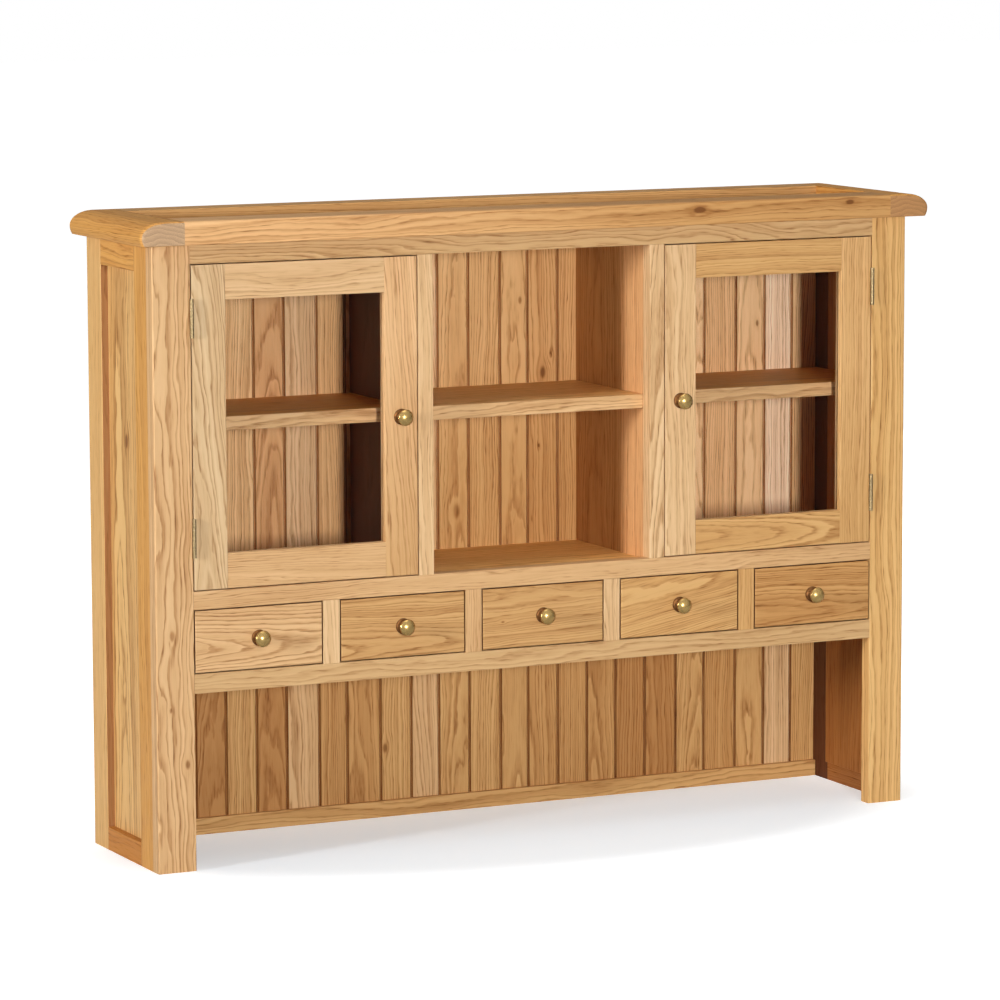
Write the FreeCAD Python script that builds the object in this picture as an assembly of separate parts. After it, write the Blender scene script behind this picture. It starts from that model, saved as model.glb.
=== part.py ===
import FreeCAD, Part
import math
import os

Vector = FreeCAD.Vector

# Overall sizes, in millimetres. The origin is the middle of the footprint, at
# floor level. The front faces -Y and the height runs along +Z.
carcass_width = 1430.0
carcass_depth = 295.0
carcass_height = 1050.0

# Cornice: a flat frame that oversails the front and the two sides.
cornice_thickness = 40.0
cornice_side_overhang = 30.0
cornice_front_overhang = 29.0
cornice_member_width = 78.0
cornice_back_rail_width = 60.0
thumb_width = 42.0
thumb_height = 25.0
heel_width = 4.5
cornice_front_round = 7.0
cornice_lower_arris = 2.0
cornice_tenon_length = 20.0
cornice_tenon_thickness = 12.0
cornice_tenon_inset = 14.0
cornice_tenon_top_cover = 8.0
dust_panel_thickness = 9.0
dust_panel_groove = 8.0
dust_panel_rise = 8.0

# Face frame: two posts, three rails and the short uprights between the rails.
face_thickness = 25.0
post_width = 68.0
top_rail_height = 33.0
door_opening_height = 545.0
middle_rail_height = 31.0
drawer_opening_height = 108.0
lower_rail_height = 33.0
divider_width = 28.0
drawer_stile_width = 31.0
drawer_count = 5
post_arris = 3.0
frame_arris = 1.0
tenon_length = 22.0
tenon_thickness = 9.0
tenon_shoulder = 6.0
stub_tenon_length = 10.0
stub_tenon_shoulder = 4.0

# Sides: stiles and rails round a panel that is let in from the inside.
side_thickness = 20.0
side_front_stile_width = 54.0
side_rear_stile_width = 64.0
side_bottom_rail_height = 40.0
side_top_rail_height = 48.0
side_panel_thickness = 7.0
side_panel_recess = 12.5
side_panel_lap = 8.0
side_tenon_length = 20.0
side_tenon_thickness = 7.0
side_tenon_cover = 3.0
side_arris = 1.0

# Back: tongued boards in a rebate, held by a rail at the foot and at the head.
board_thickness = 10.0
board_rebate = 10.0
board_tongue_length = 5.0
board_tongue_share = 0.34
board_tongue_clearance = 0.3
board_chamfer = 2.5
board_joint_gap = 0.8
back_rail_thickness = 18.0
back_rail_height = 29.0
back_rail_board_lap = 17.0
board_width_shares = (
    0.99, 0.97, 1.02, 0.97, 0.98, 0.97, 1.05, 0.91, 1.09, 1.01, 0.92, 1.02,
    1.05, 0.92, 1.01, 0.99, 0.98, 1.01, 1.07, 0.98, 1.10, 1.00, 0.96, 1.02)

# Inner boards: dividers, cupboard floor, drawer bed and shelves.
divider_panel_thickness = 27.0
cupboard_floor_thickness = 20.0
cupboard_floor_drop = 3.0
drawer_bed_thickness = 20.0
shelf_thickness = 24.0
shelf_top_height = 756.0
shelf_end_clearance = 1.0
shelf_back_clearance = 1.0
cupboard_shelf_setback = 21.0
centre_shelf_setback = 1.0
shelf_arris = 1.5
shelf_pin_radius = 2.5
shelf_pin_depth = 11.0
shelf_pin_reach = 10.0
shelf_pin_edge = 12.0
shelf_pin_clearance = 0.1
shelf_pin_bevel = 0.8
hole_clearance = 0.05

# Doors: a glazed frame with the glass held from behind by quarter-round beads.
door_gap = 2.0
door_thickness = 22.0
door_stile_width = 60.0
door_rail_height = 59.0
door_lip = 10.0
door_rebate = 8.0
door_tenon_length = 30.0
door_tenon_thickness = 7.0
door_tenon_shoulder = 10.0
door_arris = 1.0
glass_thickness = 4.0
glass_clearance = 1.0
bead_round = 5.0

# Butt hinges: two leaves with three interleaved knuckles on one pin.
hinge_length = 65.0
hinge_end_distance = 55.0
hinge_leaf_width = 18.0
hinge_leaf_clearance = 0.2
knuckle_radius = 3.5
knuckle_face_clearance = 0.1
knuckle_sweep_clearance = 0.4
knuckle_end_clearance = 0.3
knuckle_share = 0.28
hinge_pin_radius = 1.6
hinge_pin_bevel = 0.6

# Door catches: a block behind the top rail with a nose that the door meets.
catch_width = 44.0
catch_depth = 14.0
catch_height = 40.0
catch_drop = 14.0
catch_nose_height = 8.0
catch_nose_inset = 7.0
catch_clearance = 0.3
catch_end_distance = 40.0

# Drawers: lapped dovetails at the front, housed back, bottom slid in behind.
drawer_gap = 2.0
drawer_front_thickness = 20.0
drawer_front_arris = 1.5
drawer_side_thickness = 12.0
drawer_side_height = 88.0
drawer_back_thickness = 12.0
drawer_back_inset = 6.0
drawer_back_top_drop = 6.0
drawer_housing_depth = 5.0
drawer_bottom_thickness = 6.0
drawer_bottom_groove = 6.0
drawer_bottom_rise = 10.0
drawer_running_clearance = 0.3
drawer_stop_clearance = 0.5
guide_height = 18.0
guide_clearance = 0.5
dovetail_count = 3
dovetail_lap = 6.0
dovetail_width_share = 0.70
dovetail_slope_share = 0.14

# Knobs: one turned piece with a stud that screws into the wood.
knob_radius = 14.0
knob_projection = 26.0
knob_base_radius = 13.5
knob_base_rim = 1.6
knob_neck_radius = 6.0
knob_collar_radius = 7.5
knob_stud_radius = 2.0
knob_stud_length = 15.0
knob_cove_end_share = 0.30
knob_neck_end_share = 0.36
knob_collar_end_share = 0.54
knob_head_back_share = 0.60
knob_head_front_share = 0.80
knob_head_back_radius_share = 0.86
knob_head_front_radius_share = 0.92
knob_cove_bow_share = 0.16
knob_collar_bow_share = 0.40
knob_rim_bow_share = 0.28

# How far a cutter runs past the wood, and when two places count as the same.
cut_overrun = 1.0
same_place = 0.001

# Places worked out from the sizes.
overall_depth = carcass_depth + cornice_front_overhang
face_y = cornice_front_overhang - overall_depth / 2
frame_back_y = face_y + face_thickness
back_y = face_y + carcass_depth
board_front_y = back_y - board_thickness
back_rail_front_y = back_y - back_rail_thickness
head_rail_foot_z = carcass_height - back_rail_height
side_x = carcass_width / 2
side_inner_x = side_x - side_thickness
post_inner_x = side_x - post_width
clear_width = carcass_width - 2 * post_width
bay_width = (clear_width - 2 * divider_width) / 3
divider_x = bay_width / 2 + divider_width / 2
door_top_z = carcass_height - top_rail_height
middle_rail_top_z = door_top_z - door_opening_height
drawer_top_z = middle_rail_top_z - middle_rail_height
drawer_foot_z = drawer_top_z - drawer_opening_height
lower_rail_foot_z = drawer_foot_z - lower_rail_height
floor_top_z = middle_rail_top_z - cupboard_floor_drop
bed_top_z = drawer_foot_z + drawer_gap - drawer_running_clearance
shelf_foot_z = shelf_top_height - shelf_thickness
drawer_opening_width = (clear_width - (drawer_count - 1) * drawer_stile_width) / drawer_count
drawer_pitch = drawer_opening_width + drawer_stile_width
front_stile_back_y = frame_back_y + side_front_stile_width
rear_stile_front_y = back_y - side_rear_stile_width
shelf_pin_ys = (front_stile_back_y - shelf_pin_edge, rear_stile_front_y + shelf_pin_edge)
shelf_pin_z = shelf_foot_z - shelf_pin_clearance - shelf_pin_radius
hinge_axis_x = post_inner_x - door_gap / 2
hinge_axis_y = face_y - knuckle_radius - knuckle_face_clearance
hinge_leaf_thickness = (door_gap - hinge_leaf_clearance) / 2
door_foot_z = middle_rail_top_z + door_gap
door_head_z = door_top_z - door_gap
door_outer_x = post_inner_x - door_gap
door_inner_x = divider_x + divider_width / 2 + door_gap
door_back_y = face_y + door_thickness
hinge_foots = (door_foot_z + hinge_end_distance, door_head_z - hinge_end_distance - hinge_length)


def block(x0, x1, y0, y1, z0, z1):
    """A rectangular piece between two corners."""
    return Part.makeBox(x1 - x0, y1 - y0, z1 - z0, Vector(x0, y0, z0))


def upright_cylinder(radius, x, y, z0, z1):
    """A round piece on a vertical axis."""
    return Part.makeCylinder(radius, z1 - z0, Vector(x, y, z0))


def joined(*shapes):
    """One solid made of pieces that grow out of each other."""
    whole = shapes[0]
    for shape in shapes[1:]:
        whole = whole.fuse(shape)
    return whole.removeSplitter()


def cut_away(shape, *cutters):
    """The shape with every cutter taken out of it."""
    for cutter in cutters:
        shape = shape.cut(cutter)
    return shape


def edges_on(shape, **places):
    """The edges of a shape whose ends all lie at the given coordinates."""
    found = []
    for edge in shape.Edges:
        ends = [vertex.Point for vertex in edge.Vertexes]
        if all(abs(getattr(end, axis) - place) < same_place
               for end in ends for axis, place in places.items()):
            found.append(edge)
    return found


def eased(shape, radius, *edge_groups):
    """The shape with the named groups of edges rounded."""
    edges = [edge for group in edge_groups for edge in group]
    return shape.makeFillet(radius, edges)


def bevelled(shape, size, *edge_groups):
    """The shape with the named groups of edges bevelled."""
    edges = [edge for group in edge_groups for edge in group]
    return shape.makeChamfer(size, edges)


def mirrored(shape):
    """The same piece on the other side of the middle plane."""
    return shape.mirror(Vector(0, 0, 0), Vector(1, 0, 0))


def prism(points, direction):
    """A flat outline, given by its corners, drawn out along a direction."""
    return Part.Face(Part.makePolygon(points + points[:1])).extrude(direction)


def bowed(start, end, bow_share):
    """An arc between two points that stands off its chord by a share of the chord."""
    chord = end - start
    normal = Vector(-chord.z, 0, chord.x)
    middle = (start + end) / 2 + normal * bow_share
    return Part.Arc(start, middle, end).toShape()


def crown_arc(crown, edge):
    """An arc that leaves its crown level and falls away to an edge."""
    run = edge.x - crown.x
    fall = crown.z - edge.z
    radius = (run ** 2 + fall ** 2) / (2 * fall)
    turn = math.asin(run / radius)
    middle = crown + Vector(radius * math.sin(turn / 2), 0, radius * math.cos(turn / 2) - radius)
    return Part.Arc(crown, middle, edge).toShape()


def heel_arc(waist, foot):
    """An arc that leaves its waist upright and turns in to a foot."""
    run = waist.x - foot.x
    fall = waist.z - foot.z
    radius = (run ** 2 + fall ** 2) / (2 * run)
    turn = math.asin(fall / radius)
    middle = waist + Vector(radius * math.cos(turn / 2) - radius, 0, -radius * math.sin(turn / 2))
    return Part.Arc(waist, middle, foot).toShape()


def rail_tenon(end_x, length, z0, z1):
    """The tenon that a face rail puts into the post at its +X end."""
    middle_y = (face_y + frame_back_y) / 2
    return block(end_x, end_x + length, middle_y - tenon_thickness / 2, middle_y + tenon_thickness / 2,
                 z0 + tenon_shoulder, z1 - tenon_shoulder)


def stub_tenon(middle_x, width, z0, z1):
    """The short tenon at the end of a small upright."""
    middle_y = (face_y + frame_back_y) / 2
    half = width / 2 - stub_tenon_shoulder
    return block(middle_x - half, middle_x + half, middle_y - tenon_thickness / 2,
                 middle_y + tenon_thickness / 2, z0, z1)


def drawer_middle_x(index):
    """The middle of a drawer, counted from the left."""
    return (index - (drawer_count - 1) / 2) * drawer_pitch


def face_frame():
    """Posts, rails and short uprights, with every tenon and its mortise."""
    rail_spans = {
        "top_rail": (door_top_z, carcass_height),
        "middle_rail": (drawer_top_z, middle_rail_top_z),
        "lower_rail": (lower_rail_foot_z, drawer_foot_z)}
    right_post = block(post_inner_x, side_x, face_y, frame_back_y, 0, carcass_height)
    right_post = eased(right_post, post_arris, edges_on(right_post, x=side_x, y=face_y))
    right_post = eased(right_post, frame_arris, edges_on(right_post, x=post_inner_x, y=face_y))

    divider_tenons = []
    divider_stiles = []
    for x in (-divider_x, divider_x):
        tenons = [stub_tenon(x, divider_width, door_top_z, door_top_z + stub_tenon_length),
                  stub_tenon(x, divider_width, middle_rail_top_z - stub_tenon_length, middle_rail_top_z)]
        stile = block(x - divider_width / 2, x + divider_width / 2, face_y, frame_back_y,
                      middle_rail_top_z, door_top_z)
        stile = eased(stile, frame_arris, edges_on(stile, x=x - divider_width / 2, y=face_y),
                      edges_on(stile, x=x + divider_width / 2, y=face_y))
        divider_stiles.append(joined(stile, *tenons))
        divider_tenons += tenons

    drawer_tenons = []
    drawer_stiles = []
    for index in range(drawer_count - 1):
        x = (drawer_middle_x(index) + drawer_middle_x(index + 1)) / 2
        tenons = [stub_tenon(x, drawer_stile_width, drawer_top_z, drawer_top_z + stub_tenon_length),
                  stub_tenon(x, drawer_stile_width, drawer_foot_z - stub_tenon_length, drawer_foot_z)]
        stile = block(x - drawer_stile_width / 2, x + drawer_stile_width / 2, face_y, frame_back_y,
                      drawer_foot_z, drawer_top_z)
        stile = eased(stile, frame_arris, edges_on(stile, x=x - drawer_stile_width / 2, y=face_y),
                      edges_on(stile, x=x + drawer_stile_width / 2, y=face_y))
        drawer_stiles.append(joined(stile, *tenons))
        drawer_tenons += tenons

    pieces = {"divider_stiles": Part.makeCompound(divider_stiles),
              "drawer_stiles": Part.makeCompound(drawer_stiles)}
    for name, (z0, z1) in rail_spans.items():
        tenon = rail_tenon(post_inner_x, tenon_length, z0, z1)
        rail = block(-post_inner_x, post_inner_x, face_y, frame_back_y, z0, z1)
        arrises = [edges_on(rail, y=face_y, z=z) for z in (z0, z1) if z < carcass_height]
        rail = eased(rail, frame_arris, *arrises)
        rail = joined(rail, tenon, mirrored(tenon))
        pieces[name] = cut_away(rail, *divider_tenons, *drawer_tenons)
        right_post = cut_away(right_post, tenon)
    pieces["right_post"] = right_post
    pieces["left_post"] = mirrored(right_post)
    return pieces


def side_frame():
    """Stiles, rails and panel of the right side, and the same for the left."""
    opening_foot_z = side_bottom_rail_height
    opening_head_z = carcass_height - side_top_rail_height
    panel_outer_x = side_x - side_panel_recess
    panel_spans = (front_stile_back_y - side_panel_lap, rear_stile_front_y + side_panel_lap,
                   opening_foot_z - side_panel_lap, opening_head_z + side_panel_lap)
    panel = block(panel_outer_x - side_panel_thickness, panel_outer_x, *panel_spans)
    panel_seat = block(side_inner_x - cut_overrun, panel_outer_x, *panel_spans)
    board_seat = block(side_inner_x - cut_overrun, side_inner_x + board_rebate,
                       board_front_y, back_y + cut_overrun, board_foot_z(), board_head_z())

    front_stile = block(side_inner_x, side_x, frame_back_y, front_stile_back_y, 0, carcass_height)
    front_stile = eased(front_stile, side_arris, edges_on(front_stile, x=side_x, y=front_stile_back_y))
    rear_stile = block(side_inner_x, side_x, rear_stile_front_y, back_y, 0, carcass_height)
    rear_stile = eased(rear_stile, side_arris, edges_on(rear_stile, x=side_x, y=rear_stile_front_y),
                       edges_on(rear_stile, x=side_x, y=back_y))
    rear_stile = cut_away(rear_stile, board_seat)

    rails = []
    tenon_outer_x = side_x - side_tenon_cover
    for z0, z1, arris_z in ((0, opening_foot_z, opening_foot_z),
                            (opening_head_z, carcass_height, opening_head_z)):
        tenon = block(tenon_outer_x - side_tenon_thickness, tenon_outer_x,
                      front_stile_back_y - side_tenon_length, rear_stile_front_y + side_tenon_length,
                      z0 + tenon_shoulder, z1 - tenon_shoulder)
        rail = block(side_inner_x, side_x, front_stile_back_y, rear_stile_front_y, z0, z1)
        rail = eased(rail, side_arris, edges_on(rail, x=side_x, z=arris_z))
        rails.append(cut_away(joined(rail, tenon), panel_seat))
        front_stile = cut_away(front_stile, tenon)
        rear_stile = cut_away(rear_stile, tenon)

    pin_holes = [Part.makeCylinder(shelf_pin_radius + hole_clearance, shelf_pin_depth + cut_overrun,
                                   Vector(side_inner_x - cut_overrun, y, shelf_pin_z), Vector(1, 0, 0))
                 for y in shelf_pin_ys]
    stiles = Part.makeCompound([cut_away(stile, panel_seat, *pin_holes)
                                for stile in (front_stile, rear_stile)])
    rails = Part.makeCompound(rails)
    right = {"side_stiles": stiles, "side_rails": rails, "side_panel": panel}
    pieces = {"right_" + name: shape for name, shape in right.items()}
    pieces.update({"left_" + name: mirrored(shape) for name, shape in right.items()})
    return pieces


def board_foot_z():
    """The height at which the back boards end in the foot rail."""
    return back_rail_height - back_rail_board_lap


def board_head_z():
    """The height at which the back boards end in the head rail."""
    return carcass_height - board_foot_z()


def back_board(x0, x1, has_groove, has_tongue):
    """One upright back board with its chamfers, groove and tongue."""
    tongue_front_y = board_front_y + board_thickness * (1 - board_tongue_share) / 2
    tongue_back_y = board_front_y + board_thickness * (1 + board_tongue_share) / 2
    tongue_x = x1 + board_joint_gap + board_tongue_length
    groove_x = x0 + board_tongue_length + board_tongue_clearance
    outline = [(x0 + board_chamfer, board_front_y), (x1 - board_chamfer, board_front_y),
               (x1, board_front_y + board_chamfer)]
    if has_tongue:
        outline += [(x1, tongue_front_y), (tongue_x, tongue_front_y), (tongue_x, tongue_back_y),
                    (x1, tongue_back_y)]
    outline += [(x1, back_y), (x0, back_y)]
    if has_groove:
        outline += [(x0, tongue_back_y), (groove_x, tongue_back_y), (groove_x, tongue_front_y),
                    (x0, tongue_front_y)]
    outline.append((x0, board_front_y + board_chamfer))
    return prism([Vector(x, y, board_foot_z()) for x, y in outline],
                 Vector(0, 0, board_head_z() - board_foot_z()))


def back():
    """The row of tongued boards and the rails that hold their ends."""
    row_x = side_inner_x + board_rebate
    last = len(board_width_shares) - 1
    room = 2 * row_x - last * board_joint_gap
    boards = []
    x = -row_x
    for index, share in enumerate(board_width_shares):
        width = room * share / sum(board_width_shares)
        boards.append(back_board(x, x + width, index > 0, index < last))
        x += width + board_joint_gap

    foot_rail = block(-side_inner_x, side_inner_x, back_rail_front_y, back_y, 0, back_rail_height)
    foot_rail = eased(foot_rail, frame_arris, edges_on(foot_rail, y=back_rail_front_y, z=back_rail_height))
    head_rail = block(-side_inner_x, side_inner_x, back_rail_front_y, back_y,
                      head_rail_foot_z, carcass_height)
    board_seat = block(-row_x, row_x, board_front_y, back_y + cut_overrun, board_foot_z(), board_head_z())
    return {"back_boards": Part.makeCompound(boards),
            "back_rails": Part.makeCompound([cut_away(rail, board_seat) for rail in (foot_rail, head_rail)])}


def cornice_end(outer_x, inner_x, front_y):
    """The right end of the cornice: a thumb moulding over a rounded heel, turned round at the front."""
    foot_z = carcass_height
    head_z = carcass_height + cornice_thickness
    waist_z = head_z - thumb_height
    crown_x = outer_x - thumb_width
    heel_x = outer_x - heel_width
    waist = Vector(outer_x, front_y, waist_z)
    corners = [Vector(x, front_y, z) for x, z in (
        (heel_x, foot_z), (inner_x, foot_z), (inner_x, head_z), (crown_x, head_z))]
    thumb = Part.Ellipse(waist, corners[-1], Vector(crown_x, front_y, waist_z))
    outline = [Part.LineSegment(a, b).toShape() for a, b in zip(corners, corners[1:])]
    outline += [Part.ArcOfEllipse(thumb, 0, math.pi / 2).toShape(), heel_arc(waist, corners[0])]
    profile = Part.Wire(Part.sortEdges(outline)[0])
    piece = Part.Face(profile).extrude(Vector(0, overall_depth, 0))
    front_edges = [edge for edge in edges_on(piece, y=front_y)
                   if max(vertex.Point.x for vertex in edge.Vertexes) > inner_x + same_place
                   and max(vertex.Point.z for vertex in edge.Vertexes) > foot_z + same_place]
    piece = eased(piece, cornice_front_round, front_edges)
    lower_edges = [edge for edge in edges_on(piece, z=foot_z)
                   if max(vertex.Point.x for vertex in edge.Vertexes) > inner_x + same_place
                   and min(vertex.Point.y for vertex in edge.Vertexes) < back_y - same_place]
    return eased(piece, cornice_lower_arris, lower_edges)


def cornice():
    """The four members of the cornice and the dust panel in their grooves."""
    outer_x = side_x + cornice_side_overhang
    inner_x = outer_x - cornice_member_width
    front_y = face_y - cornice_front_overhang
    rail_inner_y = front_y + cornice_member_width
    back_rail_y = back_y - cornice_back_rail_width
    foot_z = carcass_height
    head_z = carcass_height + cornice_thickness
    panel = block(-inner_x - dust_panel_groove, inner_x + dust_panel_groove,
                  rail_inner_y - dust_panel_groove, back_rail_y + dust_panel_groove,
                  foot_z + dust_panel_rise, foot_z + dust_panel_rise + dust_panel_thickness)

    right_end = cornice_end(outer_x, inner_x, front_y)
    rails = {}
    tenon_head_z = head_z - cornice_tenon_top_cover
    for name, y0, y1 in (("front", front_y, rail_inner_y), ("back", back_rail_y, back_y)):
        tenon = block(inner_x, inner_x + cornice_tenon_length,
                      y0 + cornice_tenon_inset, y1 - cornice_tenon_inset,
                      tenon_head_z - cornice_tenon_thickness, tenon_head_z)
        rail = block(-inner_x, inner_x, y0, y1, foot_z, head_z)
        if name == "front":
            rail = eased(rail, cornice_front_round, edges_on(rail, y=front_y, z=head_z))
            rail = eased(rail, cornice_lower_arris, edges_on(rail, y=front_y, z=foot_z))
        rails["cornice_%s_rail" % name] = cut_away(joined(rail, tenon, mirrored(tenon)), panel)
        right_end = cut_away(right_end, tenon)
    right_end = cut_away(right_end, panel)
    return {"cornice_right_end": right_end, "cornice_left_end": mirrored(right_end),
            "cornice_dust_panel": panel, **rails}


def across_pin(x, direction, y):
    """A shelf pin driven into a wall at x, pointing along +X or -X."""
    length = shelf_pin_depth + shelf_pin_reach
    pin = Part.makeCylinder(shelf_pin_radius, length, Vector(x - direction * shelf_pin_depth, y, shelf_pin_z),
                            Vector(direction, 0, 0))
    tip_x = x + direction * shelf_pin_reach
    return bevelled(pin, shelf_pin_bevel, edges_on(pin, x=tip_x))


def inner_boards():
    """Dividers, cupboard floor, drawer bed, shelves and the pins under them."""
    half_divider = divider_panel_thickness / 2
    divider = block(divider_x - half_divider, divider_x + half_divider, frame_back_y, board_front_y,
                    floor_top_z, carcass_height)
    holes = []
    for x, direction in ((divider_x - half_divider, 1), (divider_x + half_divider, -1)):
        for y in shelf_pin_ys:
            holes.append(Part.makeCylinder(shelf_pin_radius + hole_clearance, shelf_pin_depth + cut_overrun,
                                           Vector(x - direction * cut_overrun, y, shelf_pin_z),
                                           Vector(direction, 0, 0)))
    head_rail_notch = block(divider_x - divider_width, divider_x + divider_width, back_rail_front_y, back_y,
                            head_rail_foot_z, carcass_height + cut_overrun)
    divider = cut_away(divider, head_rail_notch, *holes)

    floor = block(-side_inner_x, side_inner_x, frame_back_y, board_front_y,
                  floor_top_z - cupboard_floor_thickness, floor_top_z)
    bed = block(-side_inner_x, side_inner_x, frame_back_y, board_front_y,
                bed_top_z - drawer_bed_thickness, bed_top_z)

    def shelf(x0, x1, setback):
        front_y = frame_back_y + setback
        board = block(x0 + shelf_end_clearance, x1 - shelf_end_clearance, front_y,
                      board_front_y - shelf_back_clearance, shelf_foot_z, shelf_top_height)
        return eased(board, shelf_arris, edges_on(board, y=front_y, z=shelf_foot_z),
                     edges_on(board, y=front_y, z=shelf_top_height))

    right_shelf = shelf(divider_x + half_divider, side_inner_x, cupboard_shelf_setback)
    centre_shelf = shelf(-divider_x + half_divider, divider_x - half_divider, centre_shelf_setback)

    pins = []
    for y in shelf_pin_ys:
        for x, direction in ((side_inner_x, -1), (divider_x + half_divider, 1),
                             (divider_x - half_divider, -1)):
            pin = across_pin(x, direction, y)
            pins += [pin, mirrored(pin)]
    return {"right_divider": divider, "left_divider": mirrored(divider), "cupboard_floor": floor,
            "drawer_bed": bed, "right_shelf": right_shelf, "left_shelf": mirrored(right_shelf),
            "centre_shelf": centre_shelf, "shelf_pins": Part.makeCompound(pins)}


def drawer_guides():
    """Strips on the drawer bed that keep each drawer straight."""
    foot_z = bed_top_z
    head_z = bed_top_z + guide_height
    half = drawer_stile_width / 2 + drawer_gap - guide_clearance
    guides = []
    for index in range(drawer_count - 1):
        x = (drawer_middle_x(index) + drawer_middle_x(index + 1)) / 2
        guides.append(block(x - half, x + half, frame_back_y, board_front_y, foot_z, head_z))
    end_guide = block(post_inner_x - drawer_gap + guide_clearance, side_inner_x, frame_back_y, board_front_y,
                      foot_z, head_z)
    guides += [end_guide, mirrored(end_guide)]
    return {"drawer_guides": Part.makeCompound(guides)}


def hinge_leaf(plate_x0, plate_x1, foot_z, knuckle_spans):
    """One leaf: a plate in the door gap with knuckles rolled round the pin."""
    plate_y = hinge_axis_y + knuckle_radius + knuckle_sweep_clearance
    leaf = block(plate_x0, plate_x1, plate_y, face_y + hinge_leaf_width, foot_z, foot_z + hinge_length)
    for z0, z1 in knuckle_spans:
        neck = block(plate_x0, plate_x1, hinge_axis_y, plate_y, z0, z1)
        knuckle = upright_cylinder(knuckle_radius, hinge_axis_x, hinge_axis_y, z0, z1)
        leaf = joined(leaf, neck, knuckle)
    bore = upright_cylinder(hinge_pin_radius + hole_clearance, hinge_axis_x, hinge_axis_y,
                            foot_z - cut_overrun, foot_z + hinge_length + cut_overrun)
    return cut_away(leaf, bore)


def hinges():
    """Frame leaves, door leaves and pins of the two hinges of each door."""
    frame_leaves = []
    door_leaves = []
    pins = []
    for foot_z in hinge_foots:
        head_z = foot_z + hinge_length
        step = hinge_length * knuckle_share
        play = knuckle_end_clearance / 2
        frame_leaves.append(hinge_leaf(post_inner_x - hinge_leaf_thickness, post_inner_x, foot_z,
                                       ((foot_z, foot_z + step - play), (head_z - step + play, head_z))))
        door_leaves.append(hinge_leaf(door_outer_x, door_outer_x + hinge_leaf_thickness, foot_z,
                                      ((foot_z + step + play, head_z - step - play),)))
        pin = upright_cylinder(hinge_pin_radius, hinge_axis_x, hinge_axis_y, foot_z, head_z)
        pins.append(bevelled(pin, hinge_pin_bevel, edges_on(pin, z=foot_z), edges_on(pin, z=head_z)))
    right_door = Part.makeCompound(door_leaves)
    return {"hinge_frame_leaves": Part.makeCompound(frame_leaves + [mirrored(leaf) for leaf in frame_leaves]),
            "hinge_pins": Part.makeCompound(pins + [mirrored(pin) for pin in pins]),
            "right_door_hinge_leaves": right_door,
            "left_door_hinge_leaves": mirrored(right_door)}


def door_catches():
    """A catch behind the top rail for each door, with the nose that the door meets."""
    x0 = door_inner_x + catch_end_distance
    x1 = x0 + catch_width
    foot_z = door_top_z - catch_drop
    body = block(x0, x1, frame_back_y, frame_back_y + catch_depth, foot_z, foot_z + catch_height)
    nose = block(x0 + catch_nose_inset, x1 - catch_nose_inset, door_back_y + catch_clearance, frame_back_y,
                 foot_z, foot_z + catch_nose_height)
    catch = joined(body, nose)
    return {"door_catches": Part.makeCompound([catch, mirrored(catch)])}


def knob(x, z):
    """A turned knob on the face of the hutch, with its stud in the wood."""
    def point(radius, height):
        return Vector(radius, 0, height)

    corners = [point(0, -knob_stud_length), point(knob_stud_radius, -knob_stud_length),
               point(knob_stud_radius, 0), point(knob_base_radius, 0), point(knob_base_radius, knob_base_rim)]
    neck = [point(knob_neck_radius, knob_projection * knob_cove_end_share),
            point(knob_neck_radius, knob_projection * knob_neck_end_share)]
    collar = point(knob_collar_radius, knob_projection * knob_collar_end_share)
    head = [point(knob_radius * knob_head_back_radius_share, knob_projection * knob_head_back_share),
            point(knob_radius * knob_head_front_radius_share, knob_projection * knob_head_front_share)]
    tip = point(0, knob_projection)
    outline = [Part.LineSegment(a, b).toShape() for a, b in zip(corners, corners[1:])]
    outline += [bowed(corners[-1], neck[0], knob_cove_bow_share), Part.LineSegment(*neck).toShape(),
                bowed(neck[1], collar, -knob_collar_bow_share), Part.LineSegment(collar, head[0]).toShape(),
                bowed(head[0], head[1], -knob_rim_bow_share),
                crown_arc(tip, head[1]), Part.LineSegment(tip, corners[0]).toShape()]
    turned = Part.Face(Part.Wire(Part.sortEdges(outline)[0])).revolve(Vector(0, 0, 0), Vector(0, 0, 1), 360)
    turned.rotate(Vector(0, 0, 0), Vector(1, 0, 0), 90)
    turned.translate(Vector(x, face_y, z))
    return turned


def stud_hole(x, z):
    """The hole that a knob's stud screws into."""
    depth = knob_stud_length + hole_clearance
    return Part.makeCylinder(knob_stud_radius + hole_clearance, depth + cut_overrun,
                             Vector(x, face_y - cut_overrun, z), Vector(0, 1, 0))


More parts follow.
